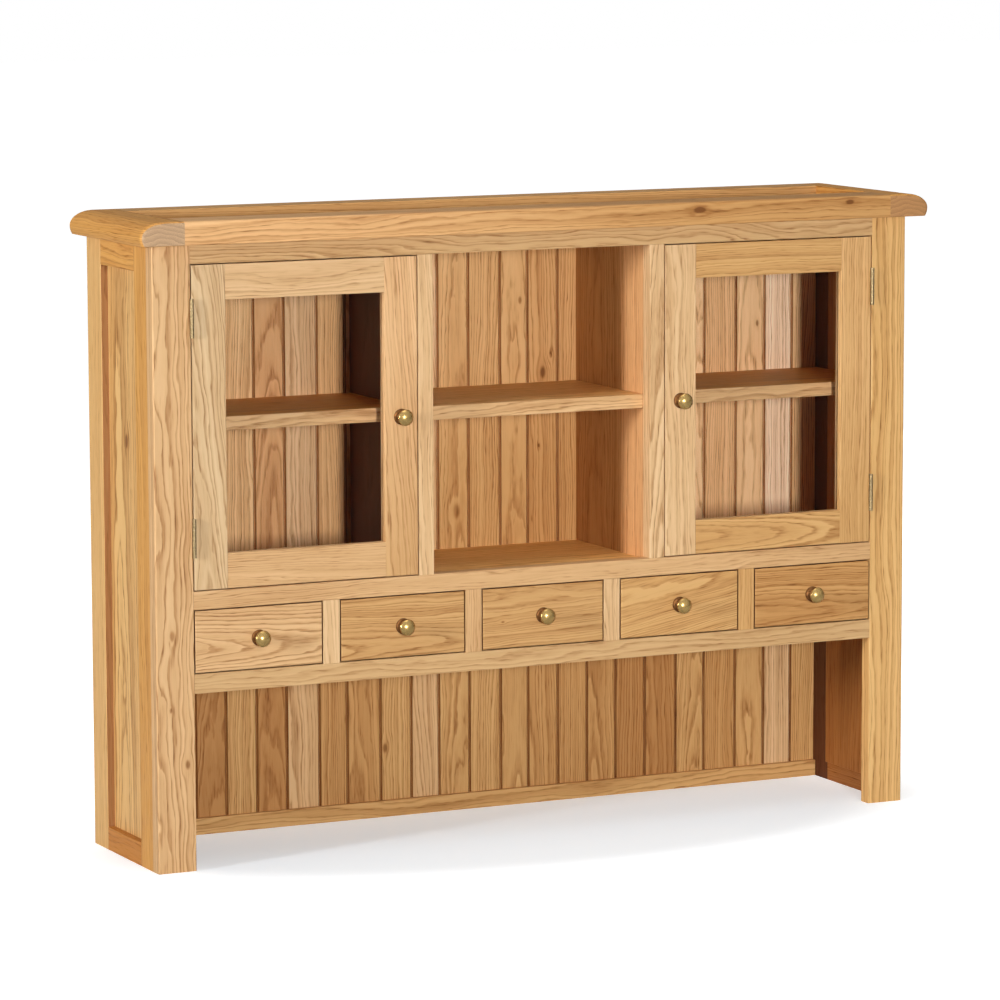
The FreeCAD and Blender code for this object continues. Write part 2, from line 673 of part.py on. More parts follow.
def doors():
    """Both glazed doors: the right one, and the left one as its mirror image."""
    x0, x1, z0, z1 = door_inner_x, door_outer_x, door_foot_z, door_head_z
    sight_x0 = x0 + door_stile_width
    sight_x1 = x1 - door_stile_width
    sight_z0 = z0 + door_rail_height
    sight_z1 = z1 - door_rail_height
    lip_y = face_y + door_lip
    seat_spans = (sight_x0 - door_rebate, sight_x1 + door_rebate)
    seat = block(*seat_spans, lip_y, door_back_y + cut_overrun,
                 sight_z0 - door_rebate, sight_z1 + door_rebate)
    knob_x = x0 + door_stile_width / 2
    knob_z = (z0 + z1) / 2

    stiles = []
    for stile_x0, stile_x1 in ((x0, sight_x0), (sight_x1, x1)):
        stile = block(stile_x0, stile_x1, face_y, door_back_y, z0, z1)
        stiles.append(eased(stile, door_arris, edges_on(stile, x=stile_x0, y=face_y),
                            edges_on(stile, x=stile_x1, y=face_y)))
    rails = []
    middle_y = (face_y + door_back_y) / 2
    for rail_z0, rail_z1 in ((z0, sight_z0), (sight_z1, z1)):
        tenon = block(sight_x0 - door_tenon_length, sight_x1 + door_tenon_length,
                      middle_y - door_tenon_thickness / 2, middle_y + door_tenon_thickness / 2,
                      rail_z0 + door_tenon_shoulder, rail_z1 - door_tenon_shoulder)
        rail = block(sight_x0, sight_x1, face_y, door_back_y, rail_z0, rail_z1)
        rail = eased(rail, door_arris, edges_on(rail, y=face_y, z=rail_z0),
                     edges_on(rail, y=face_y, z=rail_z1))
        rails.append(cut_away(joined(rail, tenon), seat))
        stiles = [cut_away(stile, tenon) for stile in stiles]
    stiles = [cut_away(stile, seat) for stile in stiles]
    stiles[0] = cut_away(stiles[0], stud_hole(knob_x, knob_z))

    glass_back_y = lip_y + glass_thickness
    glass = block(seat_spans[0] + glass_clearance, seat_spans[1] - glass_clearance, lip_y, glass_back_y,
                  sight_z0 - door_rebate + glass_clearance, sight_z1 + door_rebate - glass_clearance)
    beads = []
    for bead_x0, bead_x1, inner_x in ((seat_spans[0], sight_x0, sight_x0),
                                      (sight_x1, seat_spans[1], sight_x1)):
        bead = block(bead_x0, bead_x1, glass_back_y, door_back_y,
                     sight_z0 - door_rebate, sight_z1 + door_rebate)
        beads.append(eased(bead, bead_round, edges_on(bead, x=inner_x, y=door_back_y)))
    for bead_z0, bead_z1, inner_z in ((sight_z0 - door_rebate, sight_z0, sight_z0),
                                      (sight_z1, sight_z1 + door_rebate, sight_z1)):
        bead = block(sight_x0, sight_x1, glass_back_y, door_back_y, bead_z0, bead_z1)
        beads.append(eased(bead, bead_round, edges_on(bead, z=inner_z, y=door_back_y)))

    right = {"stiles": Part.makeCompound(stiles), "rails": Part.makeCompound(rails), "glass": glass,
             "beads": Part.makeCompound(beads), "knob": knob(knob_x, knob_z)}
    pieces = {"right_door_" + name: shape for name, shape in right.items()}
    pieces.update({"left_door_" + name: mirrored(shape) for name, shape in right.items()})
    return pieces


def dovetails(x0, x1, back_face_y, foot_z):
    """The tails at the front end of a drawer side, widest at their tips."""
    pitch = drawer_side_height / dovetail_count
    tip_y = face_y + dovetail_lap
    half_tip = pitch * dovetail_width_share / 2
    half_root = half_tip - (back_face_y - tip_y) * dovetail_slope_share
    tails = []
    for index in range(dovetail_count):
        z = foot_z + pitch * index + pitch / 2
        corners = [Vector(x0, back_face_y, z - half_root), Vector(x0, tip_y, z - half_tip),
                   Vector(x0, tip_y, z + half_tip), Vector(x0, back_face_y, z + half_root)]
        tails.append(prism(corners, Vector(x1 - x0, 0, 0)))
    return tails


def drawer(middle_x):
    """One drawer: its front, the four boards of its box and its knob."""
    half_width = drawer_opening_width / 2 - drawer_gap
    foot_z = drawer_foot_z + drawer_gap
    head_z = drawer_top_z - drawer_gap
    back_face_y = face_y + drawer_front_thickness
    end_y = board_front_y - drawer_stop_clearance
    inner_x = half_width - drawer_side_thickness
    knob_z = (foot_z + head_z) / 2

    bottom_z = foot_z + drawer_bottom_rise
    bottom = block(middle_x - inner_x - drawer_bottom_groove, middle_x + inner_x + drawer_bottom_groove,
                   back_face_y - drawer_bottom_groove, end_y, bottom_z, bottom_z + drawer_bottom_thickness)
    back_end_y = end_y - drawer_back_inset
    back_board_piece = block(middle_x - inner_x - drawer_housing_depth,
                             middle_x + inner_x + drawer_housing_depth,
                             back_end_y - drawer_back_thickness, back_end_y,
                             bottom_z + drawer_bottom_thickness,
                             foot_z + drawer_side_height - drawer_back_top_drop)

    front = block(middle_x - half_width, middle_x + half_width, face_y, back_face_y, foot_z, head_z)
    front = eased(front, drawer_front_arris, edges_on(front, y=face_y))
    sides = []
    for x0, x1 in ((middle_x - half_width, middle_x - inner_x), (middle_x + inner_x, middle_x + half_width)):
        tails = dovetails(x0, x1, back_face_y, foot_z)
        front = cut_away(front, *tails)
        side = block(x0, x1, back_face_y, end_y, foot_z, foot_z + drawer_side_height)
        sides.append(cut_away(joined(side, *tails), bottom, back_board_piece))
    front = cut_away(front, bottom, stud_hole(middle_x, knob_z))
    return {"front": front, "box": Part.makeCompound(sides + [back_board_piece, bottom]),
            "knob": knob(middle_x, knob_z)}


def drawers():
    """The row of drawers, numbered from the left."""
    pieces = {}
    for index in range(drawer_count):
        for name, shape in drawer(drawer_middle_x(index)).items():
            pieces["drawer_%d_%s" % (index + 1, name)] = shape
    return pieces


def main():
    """Build every piece and write one file for each."""
    os.makedirs("parts", exist_ok=True)
    pieces = {}
    for assembly in (face_frame, side_frame, back, cornice, inner_boards, drawer_guides, hinges, door_catches,
                     doors, drawers):
        pieces.update(assembly())
    for name, shape in pieces.items():
        shape.exportStep("parts/%s.step" % name)


main()
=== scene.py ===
"""Looks of an oak hutch: glazed cupboards, an open bay, small drawers and a boarded back."""

import logging
import math
from abc import ABC, abstractmethod
from dataclasses import dataclass, replace
from enum import Enum
from typing import Any, ClassVar, Mapping, Sequence

import bmesh
import bpy
from mathutils import Matrix, Vector

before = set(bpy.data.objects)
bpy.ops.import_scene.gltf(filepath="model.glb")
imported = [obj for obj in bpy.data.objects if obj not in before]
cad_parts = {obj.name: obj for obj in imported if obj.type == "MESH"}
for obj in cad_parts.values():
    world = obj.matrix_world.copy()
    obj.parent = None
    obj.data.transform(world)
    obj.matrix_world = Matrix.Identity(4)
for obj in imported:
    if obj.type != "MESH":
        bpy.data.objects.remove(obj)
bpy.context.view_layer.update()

log = logging.getLogger("hutch")

MM = 0.001

# How squarely a face has to look along a direction to count as an end, a face with painted shade or light, or
# a V-joint.
END_FACING = 0.8
PAINTED_SHADING_FACING = 0.9
JOINT_FACING = (0.2, 0.98)

END_TONE = "#b98b60"
KNOB_HEAD_MM = 16.5

Colour = tuple[float, float, float, float]
Triple = tuple[float, float, float]
Tree = bpy.types.NodeTree
Socket = bpy.types.NodeSocket


def linear(hex_colour: str) -> Colour:
    """Turns an sRGB hex colour into linear light.

    Args:
        hex_colour: Six hex digits after a hash sign.

    Returns:
        Red, green and blue in linear light, and an alpha of 1.
    """
    parts = [int(hex_colour[i:i + 2], 16) / 255 for i in (1, 3, 5)]
    red, green, blue = (c / 12.92 if c <= 0.04045 else ((c + 0.055) / 1.055) ** 2.4 for c in parts)
    return (red, green, blue, 1.0)


def shaded(colour: Colour, shares: Triple) -> Colour:
    """Multiplies a linear colour by a share for each channel.

    Args:
        colour: The linear colour to start from.
        shares: What is kept of red, green and blue.

    Returns:
        The new colour, kept within what a surface can reflect.
    """
    red, green, blue = (min(c * s, 0.95) for c, s in zip(colour, shares))
    return (red, green, blue, 1.0)


def per_metre(size_mm: float) -> float:
    """The texture scale that gives a feature of this size."""
    return 1.0 / (size_mm * MM)


def add_node(tree: Tree, kind: str, inputs: Mapping[Any, Any] | None = None,
             stops: Sequence[tuple[float, Colour]] = (), **settings: Any) -> bpy.types.Node:
    """Adds one node with its settings, values and links.

    Args:
        tree: The tree that takes the node.
        kind: Blender's name for the kind of node.
        inputs: Socket name or number to a value, or to the output socket that feeds it.
        stops: Position and colour of each stop, where the node is a colour ramp.
        settings: Properties of the node itself.

    Returns:
        The new node.
    """
    node = tree.nodes.new(kind)
    for name, value in settings.items():
        setattr(node, name, value)
    for key, value in (inputs or {}).items():
        if isinstance(value, Socket):
            tree.links.new(value, node.inputs[key])
        else:
            node.inputs[key].default_value = value
    for index, (position, colour) in enumerate(stops):
        elements = node.color_ramp.elements
        stop = elements[index] if index < len(elements) else elements.new(position)
        stop.position = position
        stop.color = colour
    return node


def grey(level: float) -> Colour:
    """A grey of one level, for ramps that carry a number."""
    return (level, level, level, 1.0)


def empty_material(name: str) -> tuple[bpy.types.Material, Tree]:
    """Makes a material without any nodes.

    Args:
        name: Name of the material.

    Returns:
        The material and its node tree.
    """
    mat = bpy.data.materials.new(name)
    mat.use_nodes = True
    mat.node_tree.nodes.clear()
    return mat, mat.node_tree


class Axis(Enum):
    """A direction in the hutch's own frame, as an outward normal or a grain line."""

    LEFT = (-1.0, 0.0, 0.0)
    RIGHT = (1.0, 0.0, 0.0)
    FRONT = (0.0, -1.0, 0.0)
    BACK = (0.0, 1.0, 0.0)
    UNDER = (0.0, 0.0, -1.0)
    TOP = (0.0, 0.0, 1.0)

    @property
    def vector(self) -> Vector:
        """The direction as a vector of length 1."""
        return Vector(self.value)


class Tone(Enum):
    """Colours of the oak boards, as they lie side by side in the furniture, and of painted light and shade.
    """

    PALE = "#dab180"
    WHEAT = "#d2ae80"
    HONEY = "#d3a673"
    AMBER = "#cc9b60"
    BISCUIT = "#c5955d"
    TAWNY = "#c28e54"
    RUSSET = "#b67f47"
    GOLD = "#dbaa6a"
    OCHRE = "#d0954c"
    FAWN = "#c89862"
    COPPER = "#be7b34"
    INNER = "#b98a55"
    # Painted shade on the tops of the side shelves.
    SHELF_TOP_PAINTED_SHADE = "#d9923f"
    # Painted shade on the inward faces of the sides and the right divider.
    PAINTED_SHADE = "#a26530"
    # Painted shade in the side panels' recesses and in the gaps round the drawers.
    RECESS_PAINTED_SHADE = "#96663a"
    # Painted deep shade on the inward faces of the right side's stiles.
    DEEP_PAINTED_SHADE = "#5a2f17"
    JOINT = "#87552a"
    BUFF = "#caa06d"
    # Painted deep shade on the cupboard face of the left divider.
    DARK_PAINTED_SHADE = "#5f2f17"
    # Painted light on the top of the cupboard floor.
    FLOOR_TOP_PAINTED_LIGHT = "#ebb970"


@dataclass(frozen=True)
class Knot:
    """A small knot in a board.

    Attributes:
        place_mm: Its middle, in the hutch's own frame.
        radius_mm: Half its width across the grain.
    """

    place_mm: Triple
    radius_mm: float


@dataclass(frozen=True)
class Cut:
    """How a board was cut from its log.

    Attributes:
        tone: Colour of the planed face.
        across_mm: How far the log's heart lies to one side of the board's middle.
        behind_mm: How far the heart lies behind the face that shows.
        lean_deg: Angle between the heart and the face, which opens the arches of the figure.
        seed: Picks one log among others.
        ring_mm: Width of a growth ring.
        figure: Strength of the rings beside the usual.
        skew_deg: Turn of the grain in the plane of the face.
        knots: Knots in the board.
        painted_light: How much paler the board is painted along one direction, a painted gradient of light.
        painted_light_to: The direction in which the board is painted paler.
        painted_light_mm: Where along that direction the painted light starts, and where it is full.
        wild: How much more the grain wanders than the usual.
    """

    tone: Tone = Tone.HONEY
    across_mm: float = 60.0
    behind_mm: float = 55.0
    lean_deg: float = 0.6
    seed: float = 0.0
    ring_mm: float = 4.2
    figure: float = 1.0
    skew_deg: float = 0.0
    knots: tuple[Knot, ...] = ()
    painted_light: float = 1.0
    painted_light_to: Axis = Axis.TOP
    painted_light_mm: tuple[float, float] = (300.0, 480.0)
    wild: float = 1.0


@dataclass(frozen=True)
class Oak:
    """European oak, planed, sanded and oiled.

    The eye sees pale late wood between browner, wavering lines of open pores. They run straight near the
    edges of a log and as nested arches near its middle, with short dark pore dashes and soft clouds under a
    satin sheen.

    Attributes:
        name: Name of the material.
        cut: How the board was cut.
        grain: Direction of the fibres.
        face: Outward normal of the face that shows.
        middle: Middle of that face, in metres.

    The other fields are sizes and weights of the figure that all boards share.
    """

    name: str
    cut: Cut
    grain: Axis
    face: Axis
    middle: Triple

    wander_mm: float = 75.0
    wander_reach_mm: float = 26.0
    wander_stretch: float = 0.22
    waver_mm: float = 11.0
    waver_reach_mm: float = 4.5
    waver_stretch: float = 0.22
    waver_seed: float = 5.9
    fibre_mm: float = 3.0
    fibre_stretch: float = 0.03
    fibre_seed: float = 11.3
    streak_mm: float = 17.0
    streak_stretch: float = 0.05
    streak_seed: float = 17.9
    # True pores are a fifth of a millimetre wide, and are drawn coarser so that they show.
    pore_mm: float = 2.0
    pore_stretch: float = 0.06
    pore_seed: float = 37.1
    pore_band: tuple[float, float] = (0.53, 0.70)
    cloud_mm: float = 120.0
    cloud_stretch: float = 0.45
    cloud_seed: float = 23.7
    year_pace: float = 0.45
    year_drift: float = 1.6
    year_band: tuple[float, float] = (0.35, 0.65)
    year_range: tuple[float, float] = (0.45, 1.25)
    late_wood_mean: float = 0.62
    late_wood_closed: float = 0.75
    knot_bend: float = 0.95
    knot_bend_radii: float = 4.5
    knot_core_radii: float = 1.5
    knot_core_weight: float = 0.50
    knot_halo_radii: float = 4.0
    knot_halo_weight: float = 0.12
    mean_level: float = 0.66
    ring_weight: float = 0.46
    fibre_weight: float = 0.48
    streak_weight: float = 0.42
    cloud_weight: float = 0.42
    pore_weight: float = 0.32
    roughness: float = 0.48
    pore_roughness: float = 0.16
    sheen: float = 0.22
    pore_depth_mm: float = 0.25
    relief: float = 0.35

    def turn(self) -> Matrix:
        """The rotation from the log's own frame, with its heart along Z, to the hutch's frame."""
        grain, normal = self.grain.vector, self.face.vector
        width = normal.cross(grain)
        axes = Matrix((width, normal, grain)).transposed()
        skew = Matrix.Rotation(math.radians(self.cut.skew_deg), 3, "Y")
        return axes @ skew @ Matrix.Rotation(math.radians(self.cut.lean_deg), 3, "X")

    def heart(self) -> Vector:
        """A point on the log's heart, in metres."""
        normal = self.face.vector
        width = normal.cross(self.grain.vector)
        aside = width * self.cut.across_mm - normal * self.cut.behind_mm
        return Vector(self.middle) + aside * MM

    def knot_offset(self, tree: Tree, place: Socket, knot: Knot) -> Socket:
        """Adds the vector from a knot's middle to the point that is shaded."""
        middle = tuple(v * MM for v in knot.place_mm)
        return add_node(tree, "ShaderNodeVectorMath", {0: place, 1: middle}, operation="SUBTRACT").outputs[0]

    def knot_mask(self, tree: Tree, offset: Socket, knot: Knot, reach: float) -> Socket:
        """Adds a mask that is 1 in a knot and falls to 0 some radii away, further along the grain.

        Args:
            tree: The material's node tree.
            offset: Vector from the knot's middle.
            knot: The knot.
            reach: Radii at which the mask ends.

        Returns:
            The mask's socket.
        """
        radius = knot.radius_mm * MM
        shares = [0.0 if abs(n) > 0.5 else (0.5 if abs(g) > 0.5 else 1.0) / radius
                  for g, n in zip(self.grain.vector, self.face.vector)]
        scaled = add_node(tree, "ShaderNodeVectorMath", {0: offset, 1: tuple(shares)}, operation="MULTIPLY")
        distance = add_node(tree, "ShaderNodeVectorMath", {0: scaled.outputs[0]}, operation="LENGTH")
        mask = add_node(tree, "ShaderNodeMapRange", {"Value": distance.outputs["Value"], "From Min": reach,
                                                     "From Max": 0.3}, interpolation_type="SMOOTHERSTEP")
        return mask.outputs[0]

    def material(self) -> bpy.types.Material:
        """Builds the material.

        Returns:
            The finished material.
        """
        mat, tree = empty_material(self.name)
        cut = self.cut
        place = add_node(tree, "ShaderNodeTexCoord").outputs["Object"]
        in_log = add_node(tree, "ShaderNodeMapping", {"Vector": place, "Location": self.heart(),
                                                      "Rotation": self.turn().to_euler()},
                          vector_type="TEXTURE").outputs[0]

        def noise(size_mm: float, stretch: float, detail: float, seed: float) -> bpy.types.Node:
            """Noise drawn out along the grain.

            Args:
                size_mm: Size of a feature across the grain.
                stretch: Its width over its length.
                detail: Finer octaves.
                seed: Picks one pattern among others.

            Returns:
                The noise node.
            """
            drawn = add_node(tree, "ShaderNodeMapping", {"Vector": in_log, "Scale": (1, 1, stretch)})
            return add_node(tree, "ShaderNodeTexNoise", {
                "Vector": drawn.outputs[0], "W": seed, "Scale": per_metre(size_mm), "Detail": detail,
                "Roughness": 0.55}, noise_dimensions="4D")

        def weighted(value: Any, weight: Any, base: Any) -> Socket:
            """Adds value times weight plus base."""
            return add_node(tree, "ShaderNodeMath", {0: value, 1: weight, 2: base},
                            operation="MULTIPLY_ADD").outputs[0]

        bent = in_log
        for size_mm, stretch, reach_mm, seed in (
                (self.wander_mm, self.wander_stretch * cut.wild, self.wander_reach_mm * cut.wild, cut.seed),
                (self.waver_mm, self.waver_stretch, self.waver_reach_mm, cut.seed + self.waver_seed)):
            reach = reach_mm * MM
            bent = add_node(tree, "ShaderNodeVectorMath", {
                0: noise(size_mm, stretch, 2.0, seed).outputs["Color"], 1: (reach, reach, 0), 2: bent},
                operation="MULTIPLY_ADD").outputs[0]
        cores = []
        across = self.face.vector.cross(self.grain.vector)
        for knot in cut.knots:
            offset = self.knot_offset(tree, place, knot)
            aside = add_node(tree, "ShaderNodeVectorMath", {0: offset, 1: across}, operation="DOT_PRODUCT")
            pull = add_node(tree, "ShaderNodeMath", {
                0: aside.outputs["Value"], 1: self.knot_mask(tree, offset, knot, self.knot_bend_radii)},
                operation="MULTIPLY")
            bent = add_node(tree, "ShaderNodeVectorMath", {
                0: pull.outputs[0], 1: (-self.knot_bend, 0, 0), 2: bent}, operation="MULTIPLY_ADD").outputs[0]
            cores.append((self.knot_mask(tree, offset, knot, self.knot_core_radii),
                          self.knot_mask(tree, offset, knot, self.knot_halo_radii)))

        flat = add_node(tree, "ShaderNodeVectorMath", {0: bent, 1: (1, 1, 0)}, operation="MULTIPLY")
        radius = add_node(tree, "ShaderNodeVectorMath", {0: flat.outputs[0]}, operation="LENGTH")
        years = add_node(tree, "ShaderNodeMath", {0: radius.outputs["Value"], 1: per_metre(cut.ring_mm)},
                         operation="MULTIPLY").outputs[0]
        climate = add_node(tree, "ShaderNodeTexNoise", {
            "W": weighted(years, self.year_pace, cut.seed), "Scale": 1.0, "Detail": 2.0},
            noise_dimensions="1D").outputs["Fac"]
        season = add_node(tree, "ShaderNodeMath", {0: weighted(climate, self.year_drift, years)},
                          operation="FRACT").outputs[0]
        late_wood = add_node(tree, "ShaderNodeValToRGB", {"Fac": season},
                             ((0.0, grey(0.25)), (0.12, grey(0.0)), (0.38, grey(0.62)), (0.7, grey(0.9)),
                              (0.92, grey(1.0)), (1.0, grey(0.25)))).outputs["Color"]
        fibre = noise(self.fibre_mm, self.fibre_stretch, 4.0, cut.seed + self.fibre_seed).outputs["Fac"]
        streak = noise(self.streak_mm, self.streak_stretch, 2.0, cut.seed + self.streak_seed).outputs["Fac"]
        cloud = noise(self.cloud_mm, self.cloud_stretch, 3.0, cut.seed + self.cloud_seed).outputs["Fac"]
        pore_noise = noise(self.pore_mm, self.pore_stretch, 1.0, cut.seed + self.pore_seed).outputs["Fac"]
        pores = add_node(tree, "ShaderNodeMapRange", {
            "Value": pore_noise, "From Min": self.pore_band[0], "From Max": self.pore_band[1]}).outputs[0]
        early_wood = weighted(late_wood, -self.late_wood_closed, 1.0)
        open_pores = add_node(tree, "ShaderNodeMath", {0: pores, 1: early_wood},
                              operation="MULTIPLY").outputs[0]

        ring_weight = self.ring_weight * cut.figure
        strength = add_node(tree, "ShaderNodeMapRange", {
            "Value": climate, "From Min": self.year_band[0], "From Max": self.year_band[1],
            "To Min": self.year_range[0] * ring_weight,
            "To Max": self.year_range[1] * ring_weight}).outputs[0]
        mean_rings = self.late_wood_mean * sum(self.year_range) / 2 * ring_weight
        mean_noise = (self.fibre_weight + self.streak_weight + self.cloud_weight) / 2
        level = weighted(fibre, self.fibre_weight, self.mean_level - (mean_rings + mean_noise))
        for part, weight in ((late_wood, strength), (streak, self.streak_weight), (cloud, self.cloud_weight),
                             (open_pores, -self.pore_weight)):
            level = weighted(part, weight, level)
        for core, halo in cores:
            level = weighted(halo, -self.knot_halo_weight, weighted(core, -self.knot_core_weight, level))
        tone = linear(cut.tone.value)
        colour = add_node(tree, "ShaderNodeValToRGB", {"Fac": level}, (
            (0.0, shaded(tone, (0.36, 0.25, 0.17))), (0.30, shaded(tone, (0.72, 0.62, 0.53))),
            (0.60, shaded(tone, (1.0, 1.0, 1.0))), (0.95, shaded(tone, (1.15, 1.24, 1.36))))).outputs["Color"]
        # Painted light: the colour is multiplied paler along one direction, to stand for where more light
        # falls.
        if cut.painted_light != 1.0:
            way = add_node(tree, "ShaderNodeVectorMath", {0: place, 1: cut.painted_light_to.vector},
                           operation="DOT_PRODUCT")
            painted_light_share = add_node(tree, "ShaderNodeMapRange", {
                "Value": way.outputs["Value"], "From Min": cut.painted_light_mm[0] * MM,
                "From Max": cut.painted_light_mm[1] * MM}).outputs[0]
            colour = add_node(tree, "ShaderNodeMix", {
                0: painted_light_share, 6: colour, 7: (cut.painted_light ** 0.75, cut.painted_light, cut.painted_light ** 1.6, 1.0)},
                data_type="RGBA", blend_type="MULTIPLY").outputs[2]
        bump = add_node(tree, "ShaderNodeBump", {
            "Height": level, "Strength": self.relief, "Distance": self.pore_depth_mm * MM})
        shader = add_node(tree, "ShaderNodeBsdfPrincipled", {
            "Base Color": colour, "Roughness": weighted(pores, self.pore_roughness, self.roughness),
            "Specular IOR Level": self.sheen, "Normal": bump.outputs[0]})
        add_node(tree, "ShaderNodeOutputMaterial", {"Surface": shader.outputs[0]})
        return mat


@dataclass(frozen=True)
class EndGrain:
    """Sawn and sanded end grain of oak, which drinks more oil and shows rings and rays, a shade browner.

    Attributes:
        name: Name of the material.
        tone: Colour of the sanded end.
        ring_mm: Width of a growth ring.
        heart_mm: Where the rings centre, in the hutch's own frame.
        wander_mm: Size of the bends in a ring.
        wander_reach_mm: How far a ring bends.
        speck_mm: Size of a pore, drawn coarser than a true one so that it shows.
        speck_weight: Strength of the pores.
        ring_weight: Strength of the rings.
    """

    name: str
    tone: str
    heart_mm: Triple
    ring_mm: float = 4.0
    wander_mm: float = 30.0
    wander_reach_mm: float = 8.0
    speck_mm: float = 1.8
    speck_weight: float = 0.6
    ring_weight: float = 0.3

    def material(self) -> bpy.types.Material:
        """Builds the material.

        Returns:
            The finished material.
        """
        mat, tree = empty_material(self.name)
        place = add_node(tree, "ShaderNodeTexCoord").outputs["Object"]
        centred = add_node(tree, "ShaderNodeMapping", {
            "Vector": place, "Location": tuple(v * MM for v in self.heart_mm)},
            vector_type="TEXTURE").outputs[0]
        wander = add_node(tree, "ShaderNodeTexNoise", {
            "Vector": centred, "Scale": per_metre(self.wander_mm), "Detail": 2.0})
        bent = add_node(tree, "ShaderNodeVectorMath", {
            0: wander.outputs["Color"], 1: (self.wander_reach_mm * MM,) * 3, 2: centred},
            operation="MULTIPLY_ADD").outputs[0]
        waves_per_unit = 20.0 / (2 * math.pi)
        rings = add_node(tree, "ShaderNodeTexWave", {
            "Vector": bent, "Scale": per_metre(self.ring_mm) / waves_per_unit},
            wave_type="RINGS", rings_direction="SPHERICAL", wave_profile="SAW").outputs["Fac"]
        specks = add_node(tree, "ShaderNodeTexNoise", {
            "Vector": centred, "Scale": per_metre(self.speck_mm), "Detail": 2.0})
        level = add_node(tree, "ShaderNodeMath", {0: specks.outputs["Fac"], 1: self.speck_weight, 2: 0.1},
                         operation="MULTIPLY_ADD")
        level = add_node(tree, "ShaderNodeMath", {0: rings, 1: self.ring_weight, 2: level.outputs[0]},
                         operation="MULTIPLY_ADD")
        tone = linear(self.tone)
        colour = add_node(tree, "ShaderNodeValToRGB", {"Fac": level.outputs[0]}, (
            (0.1, shaded(tone, (0.55, 0.48, 0.42))), (0.8, shaded(tone, (1.2, 1.22, 1.25)))))
        bump = add_node(tree, "ShaderNodeBump", {"Height": specks.outputs["Fac"], "Strength": 0.3,
                                                 "Distance": 0.2 * MM})
        shader = add_node(tree, "ShaderNodeBsdfPrincipled", {
            "Base Color": colour.outputs["Color"], "Roughness": 0.55, "IOR": 1.5, "Normal": bump.outputs[0]})
        add_node(tree, "ShaderNodeOutputMaterial", {"Surface": shader.outputs[0]})
        return mat


@dataclass(frozen=True)
class Metal:
    """A cast or drawn fitting, polished and then dulled by lacquer and handling.

    Attributes:
        name: Name of the material.
        colour: Colour of the bare metal.
        patina: Colour of the film in its hollows and fine scratches.
        roughness: Roughness of the worn parts.
        cloud_mm: Size of the duller patches.
        patina_share: How much of the surface the film covers.
        grit_mm: Size of the fine marks that polish leaves.
    """

    name: str
    colour: str
    patina: str
    roughness: float
    cloud_mm: float = 4.0
    patina_share: float = 0.35
    grit_mm: float = 0.9

    def material(self) -> bpy.types.Material:
        """Builds the material.

        Returns:
            The finished material.
        """
        mat, tree = empty_material(self.name)
        place = add_node(tree, "ShaderNodeTexCoord").outputs["Object"]
        cloud = add_node(tree, "ShaderNodeTexNoise", {"Vector": place, "Scale": per_metre(self.cloud_mm),
                                                      "Detail": 4.0, "Roughness": 0.6})
        film = add_node(tree, "ShaderNodeMapRange", {
            "Value": cloud.outputs["Fac"], "From Min": 0.35, "From Max": 0.75, "To Max": self.patina_share})
        colour = add_node(tree, "ShaderNodeValToRGB", {"Fac": film.outputs[0]},
                          ((0.0, linear(self.colour)), (1.0, linear(self.patina))))
        roughness = add_node(tree, "ShaderNodeMath", {0: film.outputs[0], 1: 0.3, 2: self.roughness},
                             operation="MULTIPLY_ADD")
        grit = add_node(tree, "ShaderNodeTexNoise", {
            "Vector": place, "Scale": per_metre(self.grit_mm), "Detail": 2.0})
        bump = add_node(tree, "ShaderNodeBump", {
            "Height": grit.outputs["Fac"], "Strength": 0.06, "Distance": 0.1 * MM})
        shader = add_node(tree, "ShaderNodeBsdfPrincipled", {
            "Base Color": colour.outputs["Color"], "Metallic": 1.0, "Roughness": roughness.outputs[0],
            "Normal": bump.outputs[0]})
        add_node(tree, "ShaderNodeOutputMaterial", {"Surface": shader.outputs[0]})
        return mat


@dataclass(frozen=True)
class FloatGlass:
    """Clear float glass: no colour to speak of, hardly a sheen face-on, and a mirror at a slant.

    Attributes:
        name: Name of the material.
        tint: What passes through one face.
        face_sheen: Share that is mirrored face-on, where the photograph shows next to none.
        edge_sheen: Share that is mirrored at a grazing slant.
    """

    name: str = "clear_float_glass"
    tint: str = "#fefefe"
    face_sheen: float = 0.003
    edge_sheen: float = 0.9

    def material(self) -> bpy.types.Material:
        """Builds the material.

        Returns:
            The finished material.
        """
        mat, tree = empty_material(self.name)
        facing = add_node(tree, "ShaderNodeLayerWeight", {"Blend": 0.5}).outputs["Facing"]
        slant = add_node(tree, "ShaderNodeMath", {0: facing, 1: 5.0}, operation="POWER")
        mirror = add_node(tree, "ShaderNodeMath", {
            0: slant.outputs[0], 1: self.edge_sheen, 2: self.face_sheen}, operation="MULTIPLY_ADD")
        clear = add_node(tree, "ShaderNodeBsdfTransparent", {"Color": linear(self.tint)})
        gloss = add_node(tree, "ShaderNodeBsdfGlossy", {"Color": (1, 1, 1, 1), "Roughness": 0.02})
        mixed = add_node(tree, "ShaderNodeMixShader", {
            "Fac": mirror.outputs[0], 1: clear.outputs[0], 2: gloss.outputs[0]})
        add_node(tree, "ShaderNodeOutputMaterial", {"Surface": mixed.outputs[0]})
        return mat


